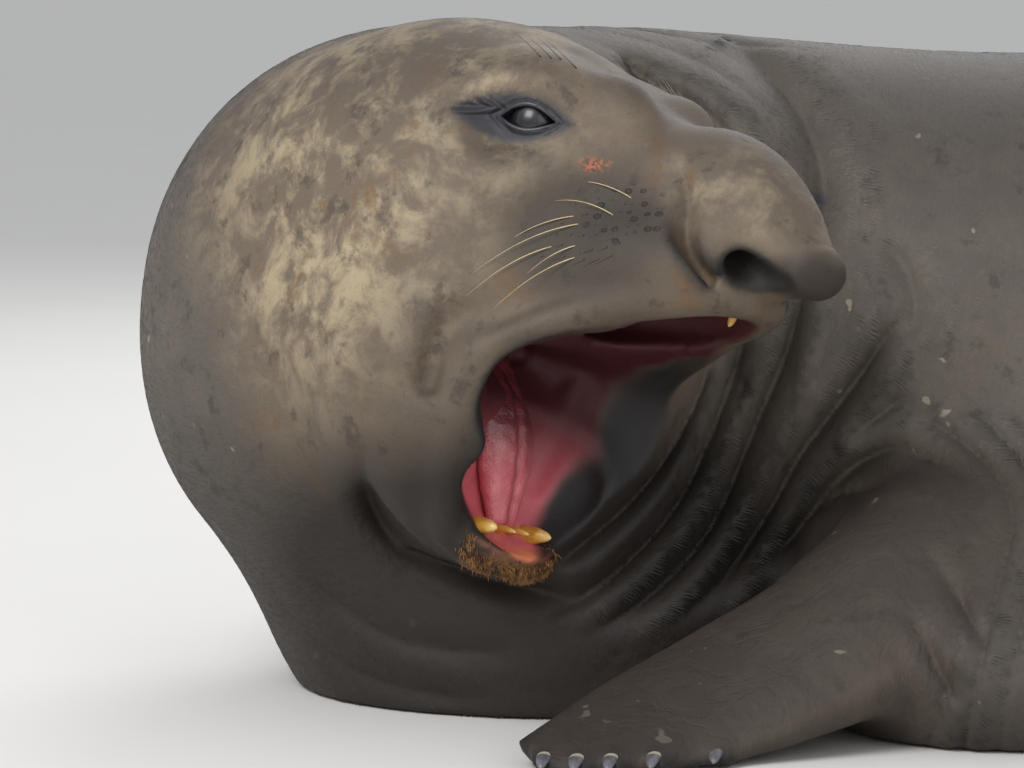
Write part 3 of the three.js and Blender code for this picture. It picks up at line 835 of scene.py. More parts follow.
class Finish(Graph):
    """A material in the making."""

    def __init__(self, name):
        self.material = bpy.data.materials.new(name)
        self.material.use_nodes = True
        super().__init__(self.material.node_tree)
        self.tree.nodes.clear()
        self.place = self.node("ShaderNodeTexCoord").out("Object")

    def mask(self, name):
        return self.node("ShaderNodeAttribute", {"attribute_name": name}).out("Fac")

    def stretched(self, scale):
        return self.node("ShaderNodeMapping", None, {"Vector": self.place, "Scale": scale})

    def noise(self, scale, detail=3.0, roughness=0.55, distortion=0.0, place=None):
        sockets = {"Vector": place or self.place, "Scale": scale, "Detail": detail,
                   "Roughness": roughness, "Distortion": distortion}
        return self.node("ShaderNodeTexNoise", None, sockets)

    def cells(self, scale, randomness=1.0, place=None):
        """The distance to the nearest of points strewn about, for dots and grains."""
        sockets = {"Vector": place or self.place, "Scale": scale, "Randomness": randomness}
        return self.node("ShaderNodeTexVoronoi", None, sockets)

    def mix(self, share, a, b, blend="MIX"):
        settings = {"data_type": "RGBA", "blend_type": blend, "clamp_factor": True}
        a, b = ((*c, 1) if isinstance(c, tuple) else c for c in (a, b))
        return self.node("ShaderNodeMix", settings, {"Factor": share, "A": a, "B": b})

    def finish(self, colour, roughness, height=None, depth=0.001, **constants):
        """Ends the material. Height is in units of depth; the constants are the shader's own."""
        sockets = {"Base Color": colour, "Roughness": roughness}
        if height is not None:
            bump = {"Height": height, "Distance": depth, "Strength": 1.0}
            sockets["Normal"] = self.node("ShaderNodeBump", None, bump)
        sockets.update({name.replace("_", " "): value for name, value in constants.items()})
        shader = self.node("ShaderNodeBsdfPrincipled", None, sockets)
        self.node("ShaderNodeOutputMaterial", None, {"Surface": shader})
        return self.material


def colour_choice(name, description, *screen):
    return bpy.props.FloatVectorProperty(
        name=name, description=description, subtype="COLOR", size=3, default=tint(*screen))


class SealColours(bpy.types.PropertyGroup):
    """Colours of the hide, mouth and horny parts."""

    hide: colour_choice("Hide", "Grey-brown of the trunk", 86, 80, 74)
    face: colour_choice("Face", "Warmer brown of the head", 102, 90, 77)
    pale: colour_choice("Pale patches", "Worn tan of forehead and cheek", 176, 160, 130)
    dark: colour_choice("Dark", "Blotches of trunk and head", 52, 45, 40)
    flipper: colour_choice("Flippers", "Brown-grey of the flippers", 70, 61, 54)
    eye_patch: colour_choice("Eye patch", "Bare skin round the eyes", 44, 44, 49)
    mouth: colour_choice("Mouth", "Pink of tongue and gums", 206, 98, 108)
    # The throat's dark red with painted shade deep in the mouth
    throat_shade: colour_choice("Throat", "Dark red deep in the mouth", 66, 16, 22)
    tooth: colour_choice("Teeth", "Stained ivory", 214, 158, 62)
    claw: colour_choice("Claws", "Grey horn", 92, 92, 96)


class SealSizes(bpy.types.PropertyGroup):
    """Sizes of the skin, the coat and the hairs."""

    cell: bpy.props.FloatProperty(
        name="Skin cell", description="Finest mesh of the skin", unit="LENGTH", default=0.0047)
    triangles: bpy.props.IntProperty(
        name="Skin triangles", description="Triangles that the skin keeps", default=192000)
    tuft: bpy.props.FloatProperty(
        name="Tuft length", description="Length of a tuft on the trunk", unit="LENGTH", default=0.017)
    tufts: bpy.props.IntProperty(
        name="Tufts", description="Tufts in each piece of the coat", default=12500)
    whisker: bpy.props.FloatProperty(
        name="Whisker length", description="Length of the longest whisker", unit="LENGTH", default=0.13)


# The lesser colours, that the panel doesn't offer
STAIN = tint(112, 82, 50)
MUZZLE_DARK = tint(50, 43, 38)
SCAR = tint(176, 164, 146)
# Painted shade on the underside, under the throat and where the skin faces down
PAINTED_UNDERSIDE_SHADE = tint(36, 30, 26)
# Painted shade in the skin's hollows and nostrils
PAINTED_CREASE_SHADE = tint(24, 20, 18)
WHISKER_DOT = tint(30, 26, 24)
RAW_SKIN = tint(190, 96, 56)
RED_VEIN = tint(150, 52, 62)
GUM_COLOURS = tint(232, 150, 92), tint(214, 110, 100)
LIP_COLOURS = tint(18, 18, 21), tint(40, 38, 38)
RUST_COLOURS = tint(84, 60, 38), tint(132, 92, 54)
MUCUS = tint(196, 192, 184)
# Painted light that lightens the coat, most at the tufts' tips
TUFT_PAINTED_LIGHT = tint(206, 194, 172)
SHADE = (0.8, 0.8, 0.8)  # what the dark grains multiply the colour by
FUR_DEPTH = 0.0012  # metres that one unit of the skin's bump stands for


def hide_colour(mat):
    """The markings of the hide, the same on skin and coat, with painted shade in creases, in the nostrils and
    on the underside.
    """
    tone = bpy.context.scene.seal_colours
    hide, face, pale, dark, flipper = (
        tuple(colour) for colour in (tone.hide, tone.face, tone.pale, tone.dark, tone.flipper))
    broad = mat.noise(5.5, 4.0, 0.6)
    mottle = mat.noise(19.0, 6.0, 0.68, 0.35)
    speck = mat.noise(150.0, 3.0, 0.7)
    colour = mat.mix(mat.mask("facing"), hide, face)
    colour = mat.mix(mat.mask("limb"), colour, flipper)
    colour = mat.mix((broad - 0.5) * 1.6, colour, dark)
    patch = (mottle * 0.62 + broad * 0.38).ramp(0.43, 0.60) * mat.mask("pale") * 0.85
    colour = mat.mix(patch, colour, pale)
    stain = mat.noise(13.0, 5.0, 0.7, 0.6).ramp(0.56, 0.66) * mat.mask("facing")
    colour = mat.mix(stain * 0.5, colour, STAIN)
    blotch = mat.noise(27.0, 5.0, 0.65).ramp(0.56, 0.68)
    colour = mat.mix(blotch * 0.55, colour, dark)
    colour = mat.mix(mat.mask("muzzle") * (0.6 + 0.4 * mottle), colour, MUZZLE_DARK)
    scar = mat.noise(30.0, 2.0, 0.5, 0.2).ramp(0.71, 0.74) * (1 - mat.mask("facing"))
    colour = mat.mix(scar * 0.5, colour, SCAR)
    # Painted shade: the underside and the throat are darkened
    colour = mat.mix(mat.mask("underside_shade"), colour, PAINTED_UNDERSIDE_SHADE)
    # Painted shade in the hollows of the skin and in the nostrils
    colour = mat.mix(mat.mask("crease_shade"), colour, PAINTED_CREASE_SHADE)
    colour = mat.mix(speck.ramp(0.35, 0.75) * 0.25, colour, pale, "SOFT_LIGHT")
    return mat.mix(1 - speck.ramp(0.2, 0.5), colour, mat.mix(1.0, colour, SHADE, "MULTIPLY"))


def skin_finish():
    mat = Finish("seal_skin")
    tone = bpy.context.scene.seal_colours
    bare, gum, lip, deep, patch, mucus = (
        mat.mask(name) for name in ("mouth", "gum", "lip", "deep", "patch", "mucus"))
    colour = mat.mix(patch, hide_colour(mat), tuple(tone.eye_patch))
    dots = mat.mask("pad") * (1 - mat.cells(62.0, 0.55, mat.stretched((1.0, 1.0, 1.3))).ramp(0.2, 0.32))
    colour = mat.mix(dots * 0.9, colour, WHISKER_DOT)
    colour = mat.mix(mat.mask("wound") * mat.noise(160.0).ramp(0.45, 0.6), colour, RAW_SKIN)
    wet = mat.noise(24.0, 4.0, 0.6, 0.3)
    # Painted shade: deeper and higher in the mouth the pink darkens to the throat's shaded dark red
    red = mat.mix(deep, tuple(tone.mouth), tuple(tone.throat_shade))
    red = mat.mix(wet.ramp(0.4, 0.75) * 0.4 * (1 - deep), red, RED_VEIN)
    colour = mat.mix(bare, colour, red)
    colour = mat.mix(gum, colour, mat.mix(wet.ramp(0.35, 0.65), *GUM_COLOURS))
    colour = mat.mix(lip, colour, mat.mix(wet, *LIP_COLOURS))
    colour = mat.mix(mat.mask("rust"), colour, mat.mix(mat.noise(120.0), *RUST_COLOURS))
    colour = mat.mix(mucus, colour, MUCUS)
    fur = mat.noise(520.0, 2.0, 0.6)
    grain = mat.noise(210.0, 4.0, 0.7)
    ridge = abs(mat.noise(22.0, 5.0, 0.55, 0.8, mat.stretched((1.0, 1.0, 0.35))) - 0.5)
    height = (fur * 0.35 + grain * 0.5) * (1 - bare)
    height = height + ridge.ramp(0.0, 0.09) * mat.mask("wrinkle") * 0.5
    height = height + lid_rings(mat) * patch * 1.6
    height = height + wet * bare * 1.5
    height = height - dots * 1.5
    rough = 0.70 - bare * 0.30 - gum * 0.2 - mucus * 0.4 - patch * 0.1
    rough = rough - lip * 0.1 + deep * bare * 0.25
    return mat.finish(colour, rough, height, FUR_DEPTH)


RINGS_ROUND_EYE = {"length": 0.038, "height": 0.016, "count": 8.0}


def lid_rings(mat):
    """Rings of fine folds round the eye, from the place itself."""
    waves = []
    for way in SIDES.values():
        centre = from_head(EYE * [1, way, 1]) + OFFSET
        off = mat.vectors("SUBTRACT", mat.place, tuple(centre))
        along, above = (
            mat.vectors("DOT_PRODUCT", off, tuple((axis * [1, way, 1]) @ HEAD_AXES)).out("Value")
            for axis in (ALONG_EYE, ABOVE_EYE))
        along = along / RINGS_ROUND_EYE["length"]
        ring = along * along + abs(above / RINGS_ROUND_EYE["height"])
        wave = mat.maths("SINE", ring * RINGS_ROUND_EYE["count"] + mat.noise(26.0) * 2.0)
        waves.append(wave * (1 - ring.ramp(0.8, 1.8)))
    return waves[0] + waves[1]


def coat_finish():
    mat = Finish("seal_coat")
    colour = hide_colour(mat)
    tip = mat.mask("tip")
    # Painted light: the coat is lightened a little, most at the blades' tips, to make up for the tufts' own
    # shade; not in the painted shade below and in creases
    lit = (0.01 + tip * 0.06) * (1 - mat.mask("underside_shade")) * (1 - mat.mask("crease_shade"))
    colour = mat.mix(lit, colour, TUFT_PAINTED_LIGHT)
    return mat.finish(colour, 0.62)


def concavity(mesh, points, normals, rounds):
    """How hollow the skin is, evened out in so many rounds: above nought in creases, below on ridges."""
    edges = np.empty(len(mesh.edges) * 2, np.int32)
    mesh.edges.foreach_get("vertices", edges)
    a, b = edges.reshape(-1, 2).T
    step = points[b] - points[a]
    length = np.maximum(np.linalg.norm(step, axis=1), FLATTEST)
    count = np.bincount(a, minlength=len(points)) + np.bincount(b, minlength=len(points))
    rise = np.bincount(a, (normals[a] * step).sum(1) / length, len(points))
    rise += np.bincount(b, -(normals[b] * step).sum(1) / length, len(points))
    value = rise / np.maximum(count, 1)
    for _ in range(rounds):
        total = np.bincount(a, value[b], len(points)) + np.bincount(b, value[a], len(points))
        value = 0.4 * value + 0.6 * total / np.maximum(count, 1)
    return value


ZONES = ("coat_face", "coat_head", "coat_neck", "coat_throat", "coat_shoulder",
         "coat_flank", "coat_back", "coat_rump", "coat_flipper")

# Patches of colour in the head's frame: centre and radii in mm, and the shares of the radii between which
# they fade out.
PATCHES = {
    "chin": ([-14, 20, -490], [40, 60, 26], 0.7, 1.1),
    "forehead": ([-200, -60, -40], [270, 190, 250], 0.6, 1.25),
    "snout": ([215, 0, -60], [120, 100, 75], 0.7, 1.1),
    "whisker_pad": ([146, 112, -92], [56, 60, 42], 0.7, 1.1),
    "wound": ([96, -122, -40], [20, 30, 13], 0.4, 1.0),
    "right_drip": ([296, -46, -152], [17, 24, 9], 0.6, 1.0),
    "left_drip": ([306, 28, -160], [15, 20, 9], 0.6, 1.0),
    "muzzle": ([98, 108, -122], [135, 80, 98], 0.55, 1.15),
    "nose_tip": ([330, 20, -135], [50, 60, 34], 0.6, 1.15),
    "cheek": ([-60, -130, -250], [120, 90, 190], 0.5, 1.15),
}
# The same in the tables' frame
BODY_PATCHES = {
    "nape": ([-150, 100, 560], [190, 260, 240], 0.5, 1.2),
    # The throat patch is painted shade under the chin
    "throat_shade": ([60, -30, 140], [420, 400, 290], 0.5, 1.1),
}
DARK_ROUND_EYE = {"behind": 0.014, "length": 0.074, "height": 0.031}
HEAD_POLE = mm([-60, 0, -200])  # the unwrap of the head goes round the head's X through here
LIMB_CHARTS = (0.81, 0.86, 0.91, 0.955)  # where each limb's strip of the unwrap starts
TRUNK_CHART = (0.01, 0.49)  # start and width of the trunk's strip
HEAD_CHART = (0.52, 0.28)
LIMB_CHART_WIDTH = 0.04


def patch_share(table, name, points):
    """1 in the middle of a patch and 0 outside it."""
    centre, radii, full, none = table[name]
    return 1 - ramp(np.linalg.norm((points - mm(centre)) / mm(radii), axis=1), full, none)


class SkinMarks:
    """Writes the masks that the materials read, and what the coat grows by, for each point of the skin."""

    def __init__(self, mesh, points):
        self.mesh = mesh
        self.points = points
        self.normals = vectors_of(mesh.vertex_normals, "vector")
        self.h = to_head(points)
        self.m = mirrored(self.h)
        self.near = np.linalg.norm(points - HEAD_MIDDLE, axis=1) < HEAD_REACH
        mass = head_mass(self.h, self.m)
        self.face = np.where(self.near, face_forms(self.h, self.m, mass), Limb.FAR)
        self.in_head = 1 - ramp(self.face, 0.02, 0.10)
        limb = np.min([limb.distance(points) for limb in ALL_LIMBS], 0)
        self.in_limb = 1 - ramp(limb, 0.01, 0.07)
        hollow = np.where(self.near, mouth_hollow(self.h), Limb.FAR)
        self.inside = (1 - ramp(hollow, 0.002, 0.012)) * (1 - ramp(self.face, 0.012, 0.04)) * (limb > 0.05)
        self.outer = self.in_head * (1 - self.inside)
        self.nostril = np.where(self.near, 1 - ramp(NOSTRIL.distance(self.m), 0.004, 0.014), 0)
        self.mark_mouth()
        self.mark_patches()
        self.mark_eyes()
        self.mark_shade()
        self.lay_coat()
        self.unwrap()
        self.part_coat()

    def write(self, name, values):
        write(self.mesh, name, values)

    def patch(self, name, mirrored_too=False):
        return patch_share(PATCHES, name, self.m if mirrored_too else self.h)

    def mark_mouth(self):
        h = self.h
        from_rim = np.interp(h[:, 2], RIM_HEIGHTS, RIM_LEFTS) - self.m[:, 1]
        from_rim += 0.006 * wobble(self.points, 0.02)
        lip_share = (1 - ramp(from_rim, 0.024, 0.046)) * (1 - ramp(h[:, 2], -0.24, -0.19))
        self.mouth = self.inside * (1 - lip_share)
        self.write("mouth", self.mouth)
        self.write("lip", self.inside * lip_share * 0.95)
        # Painted shade: deeper and higher in the open mouth, towards the throat's shaded dark red
        self.write("deep", ramp(h[:, 2] + 0.3 * h[:, 0], -0.44, -0.30))
        front_gum = self.inside * (1 - ramp(h[:, 2], -0.468, -0.45))
        gum = np.maximum(1 - ramp(GUM.distance(self.m), 0.0, 0.010), front_gum * 0.8)
        self.write("gum", gum * self.near)
        self.write("rust", self.patch("chin", True) * (1 - self.mouth))

    def mark_patches(self):
        nape = patch_share(BODY_PATCHES, "nape", self.points)
        pale = np.maximum(0.9 * self.patch("forehead"), 0.9 * nape) + 0.55 * self.patch("snout") + 0.06
        self.write("pale", np.clip(pale, 0, 1) * (1 - self.mouth))
        self.write("facing", np.clip(np.maximum(self.in_head, nape), 0, 1))
        self.write("pad", self.outer * self.patch("whisker_pad", True))
        self.write("wound", self.patch("wound"))
        self.write("mucus", 0.9 * np.maximum(self.patch("right_drip"), self.patch("left_drip")))
        muzzle = self.patch("muzzle", True) + self.patch("nose_tip", True) + 0.35 * self.patch("cheek")
        self.write("muzzle", np.clip(muzzle, 0, 1) * self.outer * self.near)

    def mark_eyes(self):
        side = (self.m[:, 1] > 0.08) & self.near
        off = self.m - EYE
        x = (off @ ALONG_EYE + DARK_ROUND_EYE["behind"]) / DARK_ROUND_EYE["length"]
        z = off @ ABOVE_EYE / DARK_ROUND_EYE["height"]
        self.eye_patch = side * (1 - ramp(x**2 + np.abs(z), 0.72, 1.1))
        self.eye_hole = ramp(-eye_opening(self.m), -0.004, 0.0) * side
        self.write("patch", self.eye_patch)

    def mark_shade(self):
        points = self.points
        # Painted shade: the skin's hollows, found from its shape, and the nostrils are darkened
        fine, broad = (concavity(self.mesh, points, self.normals, rounds) for rounds in (2, 14))
        crease_shade = np.clip(ramp(fine, 0.03, 0.20) * 0.75 + ramp(broad, 0.02, 0.10) * 0.5, 0, 1)
        self.write("crease_shade", np.clip(np.maximum(crease_shade * (1 - self.inside), self.nostril * 0.95), 0, 1))
        self.write("limb", self.in_limb)
        self.write("wrinkle", np.clip(self.in_limb, 0, 1) * self.near)
        # Painted shade: the low body, the throat under the chin and skin that faces down are darkened towards
        # the underside's shade colour
        low = (1 - ramp(points[:, 2] + 0.2 * (points[:, 0] + 0.25), 0.08, 0.42)) * (1 - 0.7 * self.in_limb)
        throat_shade = patch_share(BODY_PATCHES, "throat_shade", points)
        facing_down = ramp(-self.normals[:, 2], 0.1, 0.9)
        underside_shade = np.clip(0.75 * low + 0.95 * throat_shade * (1 - self.in_limb) + 0.5 * facing_down, 0, 1)
        self.write("underside_shade", np.clip(underside_shade * (1 - self.mouth), 0, 0.93))

    def lay_coat(self):
        """Which way the coat lies, where it doesn't grow and how long it is."""
        lie = TRUNK.direction(self.points) + [0, 0, -0.35]
        from_nose = unit(self.points - from_head(mm([200, 0, -60])))
        swept = -FORWARD * 0.8 - UP * 0.5 + from_nose * 0.8
        lie = lie + (swept - lie) * self.in_head[:, None]
        for limb in ALL_LIMBS:
            share = (1 - ramp(limb.distance(self.points), 0.0, 0.06))[:, None]
            lie = lie + (limb.direction(self.points) - lie) * share
        lie = lie - self.normals * (lie * self.normals).sum(1, keepdims=True)
        self.write("lie", unit(lie))
        on_floor = ramp(-self.points[:, 2], -0.014, -0.006)
        bare = np.max([self.inside, self.nostril, self.eye_patch * 1.2, self.eye_hole, on_floor], 0)
        self.write("bare", np.clip(bare * 1.3, 0, 1))
        size = 1 - 0.62 * np.maximum(self.in_head, self.in_limb)
        size -= 0.14 * self.in_head * ramp(self.h[:, 0], -0.12, 0.08)
        self.write("tuft_size", np.clip(size, 0.24, 1))

    def unwrap(self):
        """Each root's place on the unwrap: a column, and the turn round it as its cosine and sine."""
        length, place, _ = TRUNK.nearest(self.points)
        angle = np.arctan2(place[:, 1], place[:, 0])
        column = TRUNK_CHART[0] + TRUNK_CHART[1] * length / TRUNK.start[-1]
        round_head = np.arctan2(self.h[:, 2] - HEAD_POLE[2], self.h[:, 1])
        polar = np.arccos(np.clip(unit(self.h - HEAD_POLE)[:, 0], -1, 1))
        on_head = self.face < 0.012
        angle = np.where(on_head, round_head, angle)
        column = np.where(on_head, HEAD_CHART[0] + HEAD_CHART[1] * polar / np.pi, column)
        for start, limb in zip(LIMB_CHARTS, ALL_LIMBS):
            at, off, _ = limb.nearest(self.points)
            on = limb.distance(self.points) < 0.006
            angle = np.where(on, np.arctan2(off[:, 1], off[:, 0]), angle)
            column = np.where(on, start + LIMB_CHART_WIDTH * at / limb.start[-1], column)
        self.write("unwrap", np.stack([column, np.cos(angle), np.sin(angle)], 1))

    def part_coat(self):
        """Which piece of the coat each point belongs to."""
        x, _, z = self.points.T
        on_head = self.in_head > 0.5
        zones = [
            (self.in_limb > 0.6, "coat_flipper"), (on_head & (self.h[:, 0] > -0.03), "coat_face"),
            (on_head, "coat_head"), ((x < 0.5) & (z < 0.32), "coat_throat"), (x < 0.42, "coat_neck"),
            (x < 1.0, "coat_shoulder"), (x < 1.75, "coat_flank"), (x < 2.4, "coat_back"),
        ]
        numbers = [ZONES.index(name) for _, name in zones]
        zone = np.select([where for where, _ in zones], numbers, ZONES.index("coat_rump"))
        self.write("zone", zone.astype(float))


class SEAL_OT_skin(bpy.types.Operator):
    """Make the one skin that stands for all the flesh"""

    bl_idname = "seal.skin"
    bl_label = "Skin"

    ROOM = mm([[-480, -300, -12], [3850, 1260, 830]])
    PLAIN_FROM = 0.55  # behind the arm the cells grow
    GROWTH = 5.0  # times larger, for each metre
    QUICK_CELLS = 2.2

    def execute(self, context):
        sizes = context.scene.seal_sizes
        cell = sizes.cell * 1
        lattice = Lattice(*self.ROOM, cell, self.PLAIN_FROM, self.GROWTH)
        points, faces = lattice.surface(skin_distance)
        mesh = thinned(made_mesh("skin", points, faces), sizes.triangles)
        points = settled(points_of(mesh), skin_distance)
        place_points(mesh, points)
        SkinMarks(mesh, points)
        place_points(mesh, points + OFFSET)
        mesh.shade_smooth()
        show("skin", mesh, skin_finish(), FLESH)
        return {"FINISHED"}


# The blades of a tuft: how far to the side each stands, how far it fans out in radians, its length and its
# tip's height. The tuft is one unit long.
BLADES = [(-0.13, -0.14, 0.84, 0.05), (0.02, 0.02, 1.0, 0.07), (0.14, 0.15, 0.88, 0.05)]
BLADE_HALF_WIDTH = 0.055
BLADE_DEPTH = 0.012  # of its root, under the skin
BLADE_BACK = (0.05, 0.006)  # how far along the blade's back starts, and how high
SCATTER = 0.16  # of the way that tufts lie
TUFT_RANGE = (0.7, 1.3)  # of their length
PATCH_SIZE = 0.003  # of a tuft on the unwrap
TURN_SHARE = 0.96  # of the unwrap's height for one turn round the body
COAT_KEEPS = {"position", "facing", "limb", "pale", "underside_shade", "crease_shade", "muzzle", "tip"}


def tuft_mesh():
    """One tuft of thin closed blades that fan out and lie back, with their own patch of the unwrap."""
    points, faces, tips, patch = [], [], [], []
    back_at, back_height = BLADE_BACK
    for side, fan, length, rise in BLADES:
        first = len(points)
        points += [(0, side + way * BLADE_HALF_WIDTH, -BLADE_DEPTH) for way in (-1, 1)]
        points.append((back_at, side, back_height))
        points.append((length * math.cos(fan), side + length * math.sin(fan), rise))
        for face in ((0, 2, 1), (0, 1, 3), (1, 2, 3), (2, 0, 3)):
            faces.append(tuple(first + corner for corner in face))
        tips += [0, 0, 0, 1]
        patch += [(at, 0.5 + side, 0) for at in (0, 0, back_at)]
        patch.append((length, 0.5 + side + fan, 0))
    mesh = made_mesh("tuft", points, faces)
    mesh.shade_flat()
    write(mesh, "tip", tips)
    write(mesh, "patch_at", np.array(patch))
    return mesh


class GrownTree(Graph):
    """Grows a small object all over a mesh, lying along its coat, each with its place on the unwrap."""

    INPUTS = {"Skin": "Geometry", "Tuft": "Object", "Finish": "Material", "Zone": "Float", "Density": "Float",
              "Length": "Float", "Seed": "Int"}

    def __init__(self):
        super().__init__(bpy.data.node_groups.new("grown_tufts", "GeometryNodeTree"))
        sockets = self.tree.interface
        self.identifiers = {}
        for name, kind in self.INPUTS.items():
            made = sockets.new_socket(name=name, in_out="INPUT", socket_type=f"NodeSocket{kind}")
            self.identifiers[name] = made.identifier
        sockets.new_socket(name="Coat", in_out="OUTPUT", socket_type="NodeSocketGeometry")
        self.given = self.node("NodeGroupInput")
        coat = self.node("GeometryNodeStoreNamedAttribute", {"data_type": "FLOAT2", "domain": "CORNER"}, {
            "Geometry": self.tufts(), "Name": "OFBake", "Value": self.unwrap()})
        dressed = self.node("GeometryNodeSetMaterial", None, {
            "Geometry": coat, "Material": self.given.out("Finish")})
        self.node("NodeGroupOutput", None, {"Coat": dressed})

    def named(self, name, kind="FLOAT"):
        return self.node("GeometryNodeInputNamedAttribute", {"data_type": kind}, {"Name": name})

    def random(self, kind, low, high, seed):
        sockets = {"Min": low, "Max": high, "Seed": seed}
        return self.node("FunctionNodeRandomValue", {"data_type": kind}, sockets)

    def tufts(self):
        given = self.given
        here = self.maths("LESS_THAN", abs(self.named("zone") - given.out("Zone")), 0.5)
        covered = here * (1 - self.named("bare")) * given.out("Density")
        roots = self.node("GeometryNodeDistributePointsOnFaces", None, {
            "Mesh": given.out("Skin"), "Density": covered, "Seed": given.out("Seed")})
        scatter = self.random("FLOAT_VECTOR", (-SCATTER,) * 3, (SCATTER,) * 3, 5)
        way = self.vectors("ADD", self.named("lie", "FLOAT_VECTOR"), scatter)
        align = "FunctionNodeAlignRotationToVector"
        upright = self.node(align, {"axis": "Z"}, {"Vector": roots.out("Normal")})
        laid = self.node(align, {"axis": "X", "pivot_axis": "Z"}, {"Rotation": upright, "Vector": way})
        size = self.random("FLOAT", *TUFT_RANGE, 9) * self.named("tuft_size") * given.out("Length")
        tuft = self.node("GeometryNodeObjectInfo", None, {"Object": given.out("Tuft")}).out("Geometry")
        grown = self.node("GeometryNodeInstanceOnPoints", None, {
            "Points": roots.out("Points"), "Instance": tuft, "Rotation": laid, "Scale": size})
        return self.node("GeometryNodeRealizeInstances", None, {"Geometry": grown})

    def unwrap(self):
        """The root's place, and the point's own within the tuft."""
        root, patch = (
            self.node("ShaderNodeSeparateXYZ", None, {0: self.named(name, "FLOAT_VECTOR")})
            for name in ("unwrap", "patch_at"))
        turn = self.maths("ARCTAN2", root.out("Z"), root.out("Y"))
        u = root.out("X") + patch.out("X") * PATCH_SIZE
        v = turn * (TURN_SHARE / math.tau) + 0.5 + patch.out("Y") * PATCH_SIZE
        return self.node("ShaderNodeCombineXYZ", None, {"X": u, "Y": v})


class SEAL_OT_coat(bpy.types.Operator):
    """Grow the short coat in pieces over the skin"""

    bl_idname = "seal.coat"
    bl_label = "Coat"

    def execute(self, context):
        sizes = context.scene.seal_sizes
        skin = bpy.data.objects["skin"].data
        grown = GrownTree()
        tuft = bpy.data.objects.new("tuft", tuft_mesh())
        work = bpy.data.objects.new("work", skin)
        context.scene.collection.objects.link(tuft)
        context.scene.collection.objects.link(work)
        finish = coat_finish()
        corners = np.array([tuple(face.vertices)[:3] for face in skin.polygons])
        zone, bare = (
            numbers_of(skin.attributes[name].data, "value")[corners].mean(1) for name in ("zone", "bare"))
        zones = np.round(zone)
        grows = numbers_of(skin.polygons, "area") * (1 - bare)
        tufts = sizes.tufts * 1
        for number, name in enumerate(ZONES):
            modifier = work.modifiers.new("grow", "NODES")
            modifier.node_group = grown.tree
            values = {"Tuft": tuft, "Finish": finish, "Zone": float(number), "Length": sizes.tuft,
                      "Density": tufts / float(grows[zones == number].sum()), "Seed": number + 3}
            for key, value in values.items():
                modifier[grown.identifiers[key]] = value
            mesh = evaluated_mesh(work)
            work.modifiers.remove(modifier)
            for attribute in [a.name for a in mesh.attributes]:
                known = mesh.attributes.get(attribute)
                if known and known.data_type in ("FLOAT", "FLOAT_VECTOR") and attribute not in COAT_KEEPS:
                    mesh.attributes.remove(known)
            mesh.materials.clear()
            mesh.materials.append(finish)
            mesh.polygons.foreach_set("material_index", np.zeros(len(mesh.polygons), np.int32))
            mesh.name = name
            show(name, mesh, finish)
        bpy.data.objects.remove(work)
        bpy.data.objects.remove(tuft)
        return {"FINISHED"}


